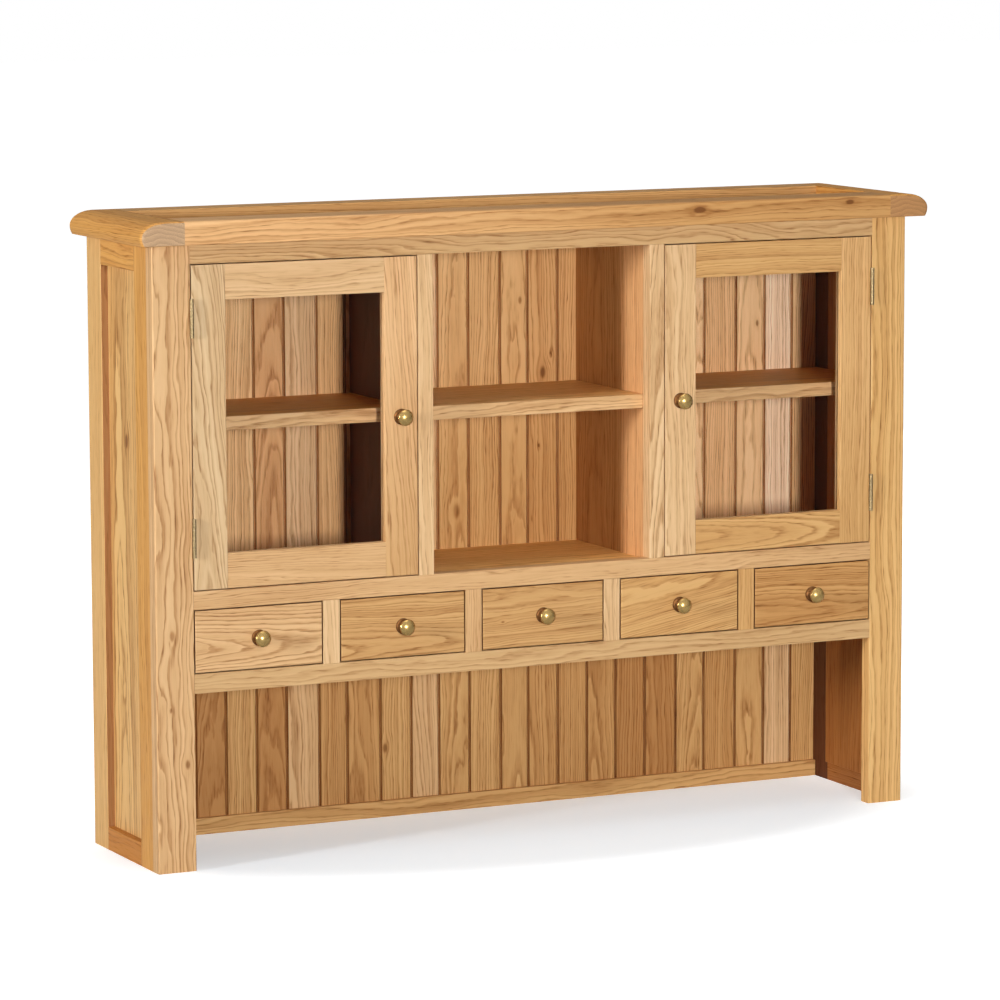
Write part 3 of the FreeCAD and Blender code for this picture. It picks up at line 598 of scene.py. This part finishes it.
@dataclass(frozen=True)
class MouldedPlastic:
    """Moulded ABS with a fine spark-eroded grain.

    Attributes:
        name: Name of the material.
        colour: Colour of the plastic.
        grain_mm: Size of the grain.
    """

    name: str = "brown_moulded_abs"
    colour: str = "#5b3f2a"
    grain_mm: float = 0.8

    def material(self) -> bpy.types.Material:
        """Builds the material.

        Returns:
            The finished material.
        """
        mat, tree = empty_material(self.name)
        place = add_node(tree, "ShaderNodeTexCoord").outputs["Object"]
        grain = add_node(tree, "ShaderNodeTexNoise", {
            "Vector": place, "Scale": per_metre(self.grain_mm), "Detail": 2.0})
        base = linear(self.colour)
        colour = add_node(tree, "ShaderNodeValToRGB", {"Fac": grain.outputs["Fac"]},
                          ((0.3, shaded(base, (0.85, 0.85, 0.85))), (0.7, shaded(base, (1.1, 1.1, 1.1)))))
        bump = add_node(tree, "ShaderNodeBump", {
            "Height": grain.outputs["Fac"], "Strength": 0.2, "Distance": 0.1 * MM})
        shader = add_node(tree, "ShaderNodeBsdfPrincipled", {
            "Base Color": colour.outputs["Color"], "Roughness": 0.5, "IOR": 1.52, "Normal": bump.outputs[0]})
        add_node(tree, "ShaderNodeOutputMaterial", {"Surface": shader.outputs[0]})
        return mat


def islands(mesh: bpy.types.Mesh, axis: Axis) -> list[int]:
    """Numbers the separate boards of a node.

    Args:
        mesh: The node's mesh.
        axis: The direction along which the boards are counted.

    Returns:
        The board's number for each face of the mesh.
    """
    parent: dict[Triple, Triple] = {}

    def root(key: Triple) -> Triple:
        """The point that stands for all points joined to this one."""
        while parent[key] != key:
            parent[key] = parent[parent[key]]
            key = parent[key]
        return key

    keys = [tuple(round(c, 6) for c in vertex.co) for vertex in mesh.vertices]
    for key in keys:
        parent.setdefault(key, key)
    for face in mesh.polygons:
        first = root(keys[face.vertices[0]])
        for vertex in face.vertices[1:]:
            parent[root(keys[vertex])] = first
    roots = [root(keys[face.vertices[0]]) for face in mesh.polygons]
    places: dict[Triple, list[float]] = {}
    for key in parent:
        places.setdefault(root(key), []).append(Vector(key).dot(axis.vector))
    order = sorted(places, key=lambda key: min(places[key]) + max(places[key]))
    numbers = {key: index for index, key in enumerate(order)}
    return [numbers[key] for key in roots]


class Assembly(ABC):
    """A part of the hutch that is built and dressed together."""

    # How far below a piece's middle the rings of its end grain centre.
    end_heart_mm: ClassVar[float] = 90.0

    @abstractmethod
    def dress(self) -> None:
        """Gives every piece its finish."""

    def paint(self, node: str, materials: Sequence[bpy.types.Material],
              picks: Sequence[int] | None = None) -> None:
        """Puts materials on a node of the frame.

        Args:
            node: Name of the node.
            materials: One material for each slot.
            picks: Slot number for each face, or None where one material covers the node.
        """
        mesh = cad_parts[node].data
        mesh.materials.clear()
        for material in materials:
            mesh.materials.append(material)
        if picks is None:
            picks = [0] * len(mesh.polygons)
        mesh.polygons.foreach_set("material_index", picks)
        mesh.update()
        log.info("dressed %s with %d finishes", node, len(materials))

    def oak(self, node: str, grain: Axis, face: Axis, cuts: Sequence[Cut], split: Axis = Axis.RIGHT,
            end_tone: str = END_TONE, painted_shading: Mapping[Axis, Tone] | None = None,
            joints: Tone | None = None) -> None:
        """Dresses a node of one or more oak boards, with end grain where the fibres end.

        Args:
            node: Name of the node.
            grain: Direction of the fibres.
            face: Outward normal of the face that shows.
            cuts: How each board was cut, in the order in which they lie along split.
            split: The direction along which the boards of the node are counted.
            end_tone: Colour of the end grain.
            painted_shading: Tones of the faces that look some other way, painted darker or lighter as painted
            shade and light.
            joints: Tone of the slanting faces of the V-joints, where the boards have some.
        """
        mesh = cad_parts[node].data
        numbers = islands(mesh, split) if len(cuts) > 1 else [0] * len(mesh.polygons)
        materials = []
        for index, cut in enumerate(cuts):
            corners = [mesh.vertices[v].co for poly, number in zip(mesh.polygons, numbers)
                       if number == index for v in poly.vertices]
            low = Vector(tuple(min(c[i] for c in corners) for i in range(3)))
            high = Vector(tuple(max(c[i] for c in corners) for i in range(3)))
            half = (high - low) / 2
            middle = (low + high) / 2 + Vector(tuple(n * h for n, h in zip(face.vector, half)))
            knots = tuple(knot for knot in cut.knots
                          if all(a - MM <= v * MM <= b + MM for a, v, b in zip(low, knot.place_mm, high)))
            materials.append(Oak(f"oak_{node}_{index + 1}", replace(cut, knots=knots), grain, face,
                                 tuple(middle)).material())
        ends = len(materials)
        centre = (low + high) / 2 / MM
        heart_mm = (centre.x, centre.y, centre.z - self.end_heart_mm)
        materials.append(EndGrain(f"oak_end_{node}", end_tone, heart_mm).material())
        picks = [ends if abs(poly.normal.dot(grain.vector)) > END_FACING else number
                 for poly, number in zip(mesh.polygons, numbers)]
        # Painted shade and light: faces that look along one of these directions take a darker or lighter copy
        # of the oak.
        for axis, tone in (painted_shading or {}).items():
            plain = replace(cuts[0], tone=tone, knots=())
            name = f"oak_{axis.name.lower()}_{node}"
            materials.append(Oak(name, plain, grain, axis, tuple(middle)).material())
            picks = [len(materials) - 1 if poly.normal.dot(axis.vector) > PAINTED_SHADING_FACING else pick
                     for poly, pick in zip(mesh.polygons, picks)]
        if joints:
            plain = replace(cuts[0], tone=joints, knots=())
            materials.append(Oak(f"oak_joint_{node}", plain, grain, face, tuple(middle)).material())
            least, most = JOINT_FACING
            picks = [len(materials) - 1 if least < abs(poly.normal.dot(split.vector)) < most else pick
                     for poly, pick in zip(mesh.polygons, picks)]
        self.paint(node, materials, picks)


@dataclass
class FaceFrame(Assembly):
    """Posts, rails and small uprights of the front."""

    left_post: Cut = Cut(Tone.HONEY, 58, 50, 0.5, 3.1, 5.2, 1.25, 0.0, (
        Knot((-686, -133, 400), 5.0), Knot((-690, -133, 275), 2.4), Knot((-661, -133, 182), 4.0)), wild=1.4)
    right_post: Cut = Cut(Tone.GOLD, 75, 55, 0.5, 8.4, 4.8, 1.1)
    top_rail: Cut = Cut(Tone.BUFF, -14, 34, 1.4, 5.2, 4.6, wild=1.25)
    middle_rail: Cut = Cut(Tone.HONEY, 60, 60, 0.5, 14.9, 3.4, 0.6)
    lower_rail: Cut = Cut(Tone.BUFF, 45, 50, 0.5, 21.7, 4.2, 0.7)
    divider_stiles: tuple[Cut, ...] = (
        Cut(Tone.PALE, 60, 60, 0.6, 2.6, 4.0, 0.7), Cut(Tone.PALE, 4, 26, 2.2, 17.5, 4.4, 1.2))
    drawer_stiles: tuple[Cut, ...] = (
        Cut(Tone.PALE, 55, 60, 1.0, 31.0, 3.6, 0.7), Cut(Tone.HONEY, -52, 55, 1.0, 32.0, 3.6, 0.7),
        Cut(Tone.PALE, 50, 45, 1.0, 33.0, 3.6, 0.7), Cut(Tone.AMBER, -56, 60, 1.0, 34.0, 3.6, 0.7))

    def dress(self) -> None:
        """Gives the frame its oak, upright in the posts and level in the rails."""
        self.oak("left_post", Axis.TOP, Axis.FRONT, (self.left_post,))
        self.oak("right_post", Axis.TOP, Axis.FRONT, (self.right_post,))
        for node, cut in (("top_rail", self.top_rail), ("middle_rail", self.middle_rail),
                          ("lower_rail", self.lower_rail)):
            self.oak(node, Axis.RIGHT, Axis.FRONT, (cut,))
        self.oak("divider_stiles", Axis.TOP, Axis.FRONT, self.divider_stiles)
        # The sides of the drawer stiles, which show in the gaps round the drawers, get painted shade.
        self.oak("drawer_stiles", Axis.TOP, Axis.FRONT, self.drawer_stiles,
                 painted_shading={Axis.LEFT: Tone.RECESS_PAINTED_SHADE, Axis.RIGHT: Tone.RECESS_PAINTED_SHADE})


@dataclass
class SideFrame(Assembly):
    """Stiles, rails and panel of one side."""

    side: str
    face: Axis
    inner: Axis
    seed: float
    panel: Cut
    # Painted shade on the inward faces of the stiles.
    stile_inside_painted_shade: Tone = Tone.PAINTED_SHADE

    def dress(self) -> None:
        """Gives the side its oak, warmer than the front, with painted shade where it looks inwards and on the
        stiles' front edges in the panel's recess.
        """
        stiles = (Cut(Tone.OCHRE, 60, 60, 0.6, self.seed, 4.0, 0.7),
                  Cut(Tone.GOLD, -58, 60, 0.6, self.seed + 1.7, 4.0, 0.7))
        rails = (Cut(Tone.COPPER, 42, 60, 0.6, self.seed + 3.1, 4.0, 0.8),
                 Cut(Tone.OCHRE, -12, 40, 1.2, self.seed + 4.3, 4.0))
        self.oak(f"{self.side}_side_stiles", Axis.TOP, self.face, stiles, Axis.BACK,
                 painted_shading={Axis.FRONT: Tone.RECESS_PAINTED_SHADE, self.inner: self.stile_inside_painted_shade})
        self.oak(f"{self.side}_side_rails", Axis.BACK, self.face, rails, Axis.TOP,
                 painted_shading={self.inner: Tone.PAINTED_SHADE})
        self.oak(f"{self.side}_side_panel", Axis.TOP, self.face, (self.panel,),
                 painted_shading={self.inner: Tone.PAINTED_SHADE})


@dataclass
class BoardedBack(Assembly):
    """The row of back boards and the rails that hold them."""

    tones: tuple[Tone, ...] = (
        Tone.AMBER, Tone.TAWNY, Tone.AMBER, Tone.RUSSET, Tone.AMBER, Tone.RUSSET, Tone.HONEY, Tone.TAWNY,
        Tone.TAWNY, Tone.AMBER, Tone.HONEY, Tone.AMBER, Tone.AMBER, Tone.AMBER, Tone.TAWNY, Tone.TAWNY,
        Tone.TAWNY, Tone.RUSSET, Tone.RUSSET, Tone.AMBER, Tone.TAWNY, Tone.AMBER, Tone.PALE, Tone.AMBER)
    # Painted light: each board is painted paler above a given height, lower behind the cupboards and higher
    # behind the open bay.
    painted_light: tuple[float, ...] = (
        (1.48,) * 5 + (1.72, 1.2, 1.48, 1.42, 1.3, 1.26, 1.28) + (1.24,) * 4 + (1.72,) * 6 + (1.55, 1.6))
    painted_light_mm: tuple[tuple[float, float], ...] = (
        ((300.0, 480.0),) * 8 + ((620.0, 820.0),) * 8 + ((300.0, 480.0),) * 8)
    hearts_mm: tuple[float, ...] = (40.0, -62.0, 54.0, 6.0, -48.0, 14.0, 62.0, -70.0)
    depths_mm: tuple[float, ...] = (38.0, 45.0, 34.0, 60.0, 40.0)
    leans_deg: tuple[float, ...] = (0.8, 0.5, 1.2, 1.6, 0.7, 2.2, 0.6)
    rings_mm: tuple[float, ...] = (4.0, 5.0, 4.4, 3.6)
    knots: tuple[Knot, ...] = (
        Knot((-171, 152, 122), 4.5), Knot((-30, 152, 535), 7.0), Knot((141, 152, 773), 5.5),
        Knot((157, 152, 803), 3.0), Knot((574, 152, 841), 3.0), Knot((133, 152, 643), 2.0),
        Knot((96, 152, 903), 3.5))
    first_seed: float = 40.0
    seed_step: float = 3.7
    figure: float = 1.2

    def dress(self) -> None:
        """Gives every board a log of its own."""
        cuts = []
        for index, tone in enumerate(self.tones):
            across, behind, lean, ring = (values[index % len(values)] for values in (
                self.hearts_mm, self.depths_mm, self.leans_deg, self.rings_mm))
            seed = self.first_seed + self.seed_step * index
            cuts.append(Cut(tone, across, behind, lean, seed, ring, self.figure, 0.0, self.knots,
                            self.painted_light[index], painted_light_mm=self.painted_light_mm[index]))
        self.oak("back_boards", Axis.TOP, Axis.FRONT, cuts, joints=Tone.JOINT)
        rails = (Cut(Tone.AMBER, 46, 50, 0.5, 90.1), Cut(Tone.TAWNY, 46, 50, 0.5, 91.3))
        self.oak("back_rails", Axis.RIGHT, Axis.FRONT, rails, Axis.TOP)


@dataclass
class Cornice(Assembly):
    """The moulded frame on top, with the dust panel in it."""

    # The front rail is painted paler towards its left end, a painted gradient of light.
    front: Cut = Cut(Tone.TAWNY, 48, 42, 0.5, 61.0, 4.6, 1.0, 0.0, (
        Knot((288, -162, 1076), 5.5), Knot((585, -162, 1080), 4.0)), 1.5, Axis.LEFT, (-300.0, 500.0))
    back: Cut = Cut(Tone.AMBER, -44, 50, 0.8, 62.0)
    left: Cut = Cut(Tone.OCHRE, 52, 60, 0.8, 63.0, 4.4, 0.8)
    right: Cut = Cut(Tone.OCHRE, -48, 60, 0.8, 64.0, 4.4, 0.8)
    dust_panel: Cut = Cut(Tone.INNER, 30, 90, 0.8, 65.0, 9.0)

    def dress(self) -> None:
        """Gives the cornice its oak, with end grain at the fronts of the end pieces."""
        self.oak("cornice_front_rail", Axis.RIGHT, Axis.FRONT, (self.front,))
        self.oak("cornice_back_rail", Axis.RIGHT, Axis.TOP, (self.back,))
        self.oak("cornice_left_end", Axis.BACK, Axis.TOP, (self.left,), end_tone="#bb9770")
        self.oak("cornice_right_end", Axis.BACK, Axis.TOP, (self.right,), end_tone="#b3814e")
        self.oak("cornice_dust_panel", Axis.RIGHT, Axis.TOP, (self.dust_panel,))


@dataclass
class InnerBoards(Assembly):
    """Dividers, floors, shelves, drawer guides and the small fittings under them."""

    pin_metal: Metal = Metal("zinc_plated_steel", "#b9b9b5", "#8d8d88", 0.3)
    catch_plastic: MouldedPlastic = MouldedPlastic()

    def dress(self) -> None:
        """Gives the boards their oak and the fittings their metal and plastic."""
        # The dividers' faces are painted paler within about 40 mm of the front, a painted band of light;
        # their other faces get painted shade.
        divider = Cut(Tone.RUSSET, 65, 70, 0.8, painted_light=1.7, painted_light_to=Axis.FRONT, painted_light_mm=(8.0, 42.0))
        self.oak("left_divider", Axis.TOP, Axis.RIGHT, (replace(divider, seed=71.0),),
                 painted_shading={Axis.LEFT: Tone.DARK_PAINTED_SHADE})
        self.oak("right_divider", Axis.TOP, Axis.LEFT, (replace(divider, seed=72.0),),
                 painted_shading={Axis.RIGHT: Tone.PAINTED_SHADE})
        # The tops of the floor and shelves get tones of their own: painted light on the cupboard floor and
        # the centre shelf, painted shade on the side shelves.
        for node, seed, top in (("cupboard_floor", 73.0, Tone.FLOOR_TOP_PAINTED_LIGHT), ("left_shelf", 74.0, Tone.SHELF_TOP_PAINTED_SHADE),
                                ("centre_shelf", 75.0, Tone.GOLD), ("right_shelf", 76.0, Tone.SHELF_TOP_PAINTED_SHADE)):
            self.oak(node, Axis.RIGHT, Axis.FRONT, (Cut(Tone.HONEY, 45, 60, 0.8, seed),),
                     painted_shading={Axis.TOP: top})
        self.oak("drawer_bed", Axis.RIGHT, Axis.TOP, (Cut(Tone.INNER, 65, 90, 0.8, 77.0, 8.0),))
        self.oak("drawer_guides", Axis.BACK, Axis.TOP, (Cut(Tone.INNER, 65, 90, 0.8, 78.0, 8.0),))
        self.paint("shelf_pins", (self.pin_metal.material(),))
        self.paint("door_catches", (self.catch_plastic.material(),))


KNOB_BRASS = Metal("antique_brass_cast_knob", "#bb9b60", "#5f4220", 0.24, 5.0, 0.35)
# Painted shade and dark reflection: the base and neck behind a knob's head are a darker brown brass.
KNOB_BASE_PAINTED_SHADE = Metal("brass_knob_base_painted_shade", "#7a5230", "#3f2412", 0.42, 5.0, 0.7)
HINGE_BRASS = Metal("dulled_brass_hinge", "#9a8663", "#4a3a22", 0.34, 3.0, 0.6)


def paint_knob(owner: Assembly, node: str) -> None:
    """Dresses a knob, with painted shade on the base and neck behind its head and collar.

    Args:
        owner: The assembly that has the knob.
        node: Name of the knob's node.
    """
    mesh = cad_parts[node].data
    head_y = min(vertex.co.y for vertex in mesh.vertices) + KNOB_HEAD_MM * MM
    picks = [0 if poly.center.y < head_y else 1 for poly in mesh.polygons]
    owner.paint(node, (KNOB_BRASS.material(), KNOB_BASE_PAINTED_SHADE.material()), picks)


@dataclass
class GlazedDoor(Assembly):
    """One glazed door with its knob and the leaves of its hinges."""

    side: str
    stiles: tuple[Cut, ...]
    rails: tuple[Cut, ...]
    beads: Cut = Cut(Tone.HONEY, 20, 60, 0.8, 88.0)

    def dress(self) -> None:
        """Gives the door its oak, glass and brass."""
        name = f"{self.side}_door"
        self.oak(f"{name}_stiles", Axis.TOP, Axis.FRONT, self.stiles)
        self.oak(f"{name}_rails", Axis.RIGHT, Axis.FRONT, self.rails, Axis.TOP)
        self.oak(f"{name}_beads", Axis.TOP, Axis.BACK, (self.beads,))
        self.paint(f"{name}_glass", (FloatGlass().material(),))
        paint_knob(self, f"{name}_knob")
        self.paint(f"{name}_hinge_leaves", (HINGE_BRASS.material(),))


@dataclass
class HingeFixtures(Assembly):
    """The leaves and pins of the hinges that stay on the posts."""

    def dress(self) -> None:
        """Gives them their brass."""
        for node in ("hinge_frame_leaves", "hinge_pins"):
            self.paint(node, (HINGE_BRASS.material(),))


@dataclass
class Drawer(Assembly):
    """One drawer: a show front on a plain box."""

    number: int
    front: Cut

    def dress(self) -> None:
        """Gives the front its figured oak, the box its plain wood and the knob its brass."""
        name = f"drawer_{self.number}"
        # The front's edges get painted shade for the gaps round it: its end grain is darker than other end
        # grain, partly the real darker oil of end grain and partly painted shade, and its top and bottom
        # edges take the recess tone.
        self.oak(f"{name}_front", Axis.RIGHT, Axis.FRONT, (self.front,), end_tone="#7a4d2b",
                 painted_shading={Axis.TOP: Tone.RECESS_PAINTED_SHADE, Axis.UNDER: Tone.RECESS_PAINTED_SHADE})
        box = Cut(Tone.INNER, 30, 80, 0.8, 100.0 + self.number, 7.0)
        self.oak(f"{name}_box", Axis.BACK, Axis.TOP, (box,))
        paint_knob(self, f"{name}_knob")


@dataclass
class Studio:
    """Floor, lamps, world and camera."""

    floor_half: float = 30.0
    floor_colour: str = "#dde5ec"
    floor_glow: float = 0.42
    floor_mirrored: float = 0.3
    dim_glow_reach: tuple[float, float] = (0.86, 0.42)
    glow_from: float = 0.72
    glow_to: float = 1.15
    ambient: float = 0.08
    bright_side: Triple = (-0.6, -0.7, 0.4)
    bright_from: float = -0.6
    bright_to: float = 0.3
    mirrored_range: tuple[float, float] = (0.1, 0.9)
    camera_place: Triple = (-3.6484, -7.5131, 1.6844)
    camera_yaw_deg: float = 25.793
    camera_pitch_deg: float = 7.594
    camera_roll_deg: float = -0.177
    focal_px: float = 4846.249
    image_px: float = 1000.0
    sensor_mm: float = 36.0

    def seen(self, tree: Tree, mirrored: Any) -> Socket:
        """Adds the share of the white background that a ray sees, all of it save where polish mirrors it.

        Args:
            tree: The tree that takes the nodes.
            mirrored: The share that polish mirrors, as a value or a socket.

        Returns:
            The share's socket, 0 for rays that only carry light.
        """
        path = add_node(tree, "ShaderNodeLightPath").outputs
        direct = add_node(tree, "ShaderNodeMath", {0: path["Is Camera Ray"], 1: path["Is Transmission Ray"]},
                          operation="MAXIMUM")
        polish = add_node(tree, "ShaderNodeMath", {0: path["Is Glossy Ray"], 1: mirrored},
                          operation="MULTIPLY")
        return add_node(tree, "ShaderNodeMath", {0: direct.outputs[0], 1: polish.outputs[0]},
                        operation="MAXIMUM").outputs[0]

    def build_floor(self) -> None:
        """Lays a pale floor whose glow is dimmed round the hutch and full further out, which paints out the
        shadows there.
        """
        shape = bmesh.new()
        bmesh.ops.create_grid(shape, x_segments=1, y_segments=1, size=self.floor_half)
        mesh = bpy.data.meshes.new("floor")
        shape.to_mesh(mesh)
        shape.free()
        floor = bpy.data.objects.new("floor", mesh)
        bpy.context.scene.collection.objects.link(floor)
        mat, tree = empty_material("pale_studio_floor")
        place = add_node(tree, "ShaderNodeTexCoord").outputs["Object"]
        shares = (1 / self.dim_glow_reach[0], 1 / self.dim_glow_reach[1], 0)
        footprint = add_node(tree, "ShaderNodeVectorMath", {0: place, 1: shares}, operation="MULTIPLY")
        distance = add_node(tree, "ShaderNodeVectorMath", {0: footprint.outputs[0]}, operation="LENGTH")
        # Painted light: the floor glows dimly in an ellipse round the hutch's footprint and fully white
        # outside it.
        glow = add_node(tree, "ShaderNodeMapRange", {
            "Value": distance.outputs["Value"], "From Min": self.glow_from, "From Max": self.glow_to,
            "To Min": self.floor_glow, "To Max": 1.0}, interpolation_type="SMOOTHSTEP")
        strength = add_node(tree, "ShaderNodeMath", {
            0: glow.outputs[0], 1: self.seen(tree, self.floor_mirrored)}, operation="MULTIPLY")
        shader = add_node(tree, "ShaderNodeBsdfPrincipled", {
            "Base Color": linear(self.floor_colour), "Roughness": 0.9, "Specular IOR Level": 0.0,
            "Emission Color": (1, 1, 1, 1), "Emission Strength": strength.outputs[0]})
        add_node(tree, "ShaderNodeOutputMaterial", {"Surface": shader.outputs[0]})
        mesh.materials.append(mat)

    def build_world(self) -> None:
        """Surrounds the hutch with white that lights it only softly, and is dark behind it in the polish."""
        world = bpy.data.worlds.new("studio")
        bpy.context.scene.world = world
        world.use_nodes = True
        tree = world.node_tree
        tree.nodes.clear()
        direction = add_node(tree, "ShaderNodeTexCoord").outputs["Generated"]
        ahead = add_node(tree, "ShaderNodeVectorMath", {0: direction, 1: self.bright_side},
                         operation="DOT_PRODUCT")
        mirrored = add_node(tree, "ShaderNodeMapRange", {
            "Value": ahead.outputs["Value"], "From Min": self.bright_from, "From Max": self.bright_to,
            "To Min": self.mirrored_range[0], "To Max": self.mirrored_range[1]})
        strength = add_node(tree, "ShaderNodeMapRange", {
            "Value": self.seen(tree, mirrored.outputs[0]), "To Min": self.ambient, "To Max": 1.0})
        sky = add_node(tree, "ShaderNodeBackground", {
            "Color": (1, 1, 1, 1), "Strength": strength.outputs[0]})
        add_node(tree, "ShaderNodeOutputWorld", {"Surface": sky.outputs[0]})

    def add_lamp(self, name: str, aim: Triple, azimuth_deg: float, elevation_deg: float, distance: float,
                 size: tuple[float, float], level: float, spread_deg: float, mirrored: bool = True) -> None:
        """Adds a soft rectangular lamp that faces a point of the hutch.

        Args:
            name: Name of the lamp.
            aim: The point that it faces.
            azimuth_deg: Angle from the front, to the right.
            elevation_deg: Angle above the horizon.
            distance: Distance from that point in metres.
            size: Width and height of the lamp in metres.
            level: Share of the light at which a facing colour renders as written.
            spread_deg: Angle of the beam, past which a grid in front of the lamp holds the light back.
            mirrored: Whether glossy faces show the lamp.
        """
        lamp = bpy.data.lights.new(name, "AREA")
        lamp.shape = "RECTANGLE"
        lamp.size, lamp.size_y = size
        lamp.spread = math.radians(spread_deg)
        edge = math.tan(lamp.spread / 2)
        lamp.energy = level * (math.pi * distance) ** 2 * (edge - lamp.spread / 2) / edge
        lamp_object = bpy.data.objects.new(name, lamp)
        azimuth, elevation = math.radians(azimuth_deg), math.radians(elevation_deg)
        towards = Vector((math.sin(azimuth) * math.cos(elevation), -math.cos(azimuth) * math.cos(elevation),
                          math.sin(elevation)))
        lamp_object.location = Vector(aim) + towards * distance
        lamp_object.rotation_euler = towards.to_track_quat("Z", "Y").to_euler()
        lamp_object.visible_glossy = mirrored
        bpy.context.scene.collection.objects.link(lamp_object)

    def build_lamps(self) -> None:
        """Lights the front from the left, the left side, the top and, for other views, the back."""
        self.add_lamp("front_softbox", (0.25, -0.1, 0.8), -13.0, 5.0, 8.0, (0.5, 1.2), 0.725, 80.0)
        self.add_lamp("left_strip", (-0.715, 0.015, 1.0), -74.5, 8.0, 7.0, (0.6, 2.0), 0.97, 50.0)
        self.add_lamp("top_softbox", (0.0, 0.0, 0.55), -20.0, 80.0, 4.0, (2.5, 2.5), 0.34, 150.0)
        self.add_lamp("rear_softbox", (0.1, 0.16, 0.6), 140.0, 4.0, 6.0, (1.5, 1.5), 0.6, 100.0, False)

    def build_camera(self) -> None:
        """Places the camera where the photograph was taken."""
        camera = bpy.data.cameras.new("camera")
        camera.sensor_width = self.sensor_mm
        camera.lens = self.focal_px / self.image_px * self.sensor_mm
        camera.clip_end = 200.0
        camera_object = bpy.data.objects.new("camera", camera)
        turn = (Matrix.Rotation(math.radians(-self.camera_yaw_deg), 3, "Z")
                @ Matrix.Rotation(math.radians(90.0 - self.camera_pitch_deg), 3, "X")
                @ Matrix.Rotation(math.radians(self.camera_roll_deg), 3, "Z"))
        camera_object.matrix_world = Matrix.Translation(self.camera_place) @ turn.to_4x4()
        bpy.context.scene.collection.objects.link(camera_object)
        bpy.context.scene.camera = camera_object

    def build(self) -> None:
        """Sets up the whole studio."""
        bpy.context.scene.view_settings.view_transform = "Standard"
        self.build_floor()
        self.build_world()
        self.build_lamps()
        self.build_camera()


def main() -> None:
    """Dresses the hutch and sets up the studio."""
    logging.basicConfig(level=logging.INFO, format="%(name)s: %(message)s")
    assemblies: list[Assembly] = [
        FaceFrame(),
        SideFrame("left", Axis.LEFT, Axis.RIGHT, 111.0, Cut(Tone.GOLD, 44, 46, 0.8, 115.0, 5.0, 1.5, 0.0, (
            Knot((-702.5, 20, 711), 6.0),))),
        # The right side's stiles get painted deep shade on their inward faces.
        SideFrame("right", Axis.RIGHT, Axis.LEFT, 121.0,
                  Cut(Tone.GOLD, -56, 60, 0.6, 125.0, 4.4, 0.9), Tone.DEEP_PAINTED_SHADE),
        BoardedBack(),
        Cornice(),
        InnerBoards(),
        # The second stile of each door is painted paler towards the top, a painted gradient of light.
        GlazedDoor("left", (Cut(Tone.WHEAT, 44, 36, 0.9, 131.0, 4.8, 1.2, 4.0, wild=1.35),
                            Cut(Tone.FAWN, 70, 55, 0.6, 132.0, 4.2, 0.9, 4.0,
                                painted_light=1.36, painted_light_mm=(460.0, 900.0))),
                   (Cut(Tone.HONEY, -60, 70, 0.5, 133.0, 3.6, 0.6),
                    Cut(Tone.PALE, 55, 80, 0.5, 134.0, 3.6, 0.6))),
        GlazedDoor("right", (Cut(Tone.PALE, 60, 60, 0.8, 141.0, 4.0, 0.7),
                             Cut(Tone.AMBER, -64, 50, 0.8, 142.0, 4.2, 0.8,
                                 painted_light=1.19, painted_light_mm=(520.0, 800.0))),
                   (Cut(Tone.AMBER, 10, 24, 3.2, 143.0, 4.8, 1.1),
                    Cut(Tone.AMBER, -60, 80, 0.5, 144.0, 3.6, 0.8))),
        HingeFixtures(),
    ]
    drawer_cuts = (
        Cut(Tone.HONEY, 8, 22, 3.0, 151.0, 5.0, 1.3),
        Cut(Tone.BISCUIT, -16, 24, 2.6, 152.0, 4.4, 1.2, wild=1.2),
        Cut(Tone.BISCUIT, 70, 60, 0.6, 153.0, 3.6, 0.9, 0.0, (Knot((-77, -133, 380.5), 1.8),)),
        Cut(Tone.AMBER, 52, 40, 1.0, 154.0, 3.6, 1.0, 11.0),
        Cut(Tone.TAWNY, -16, 30, 1.8, 155.0, 4.6, 1.1))
    assemblies += [Drawer(number, cut) for number, cut in enumerate(drawer_cuts, 1)]
    for assembly in assemblies:
        assembly.dress()
    Studio().build()


if __name__ == "__main__":
    main()
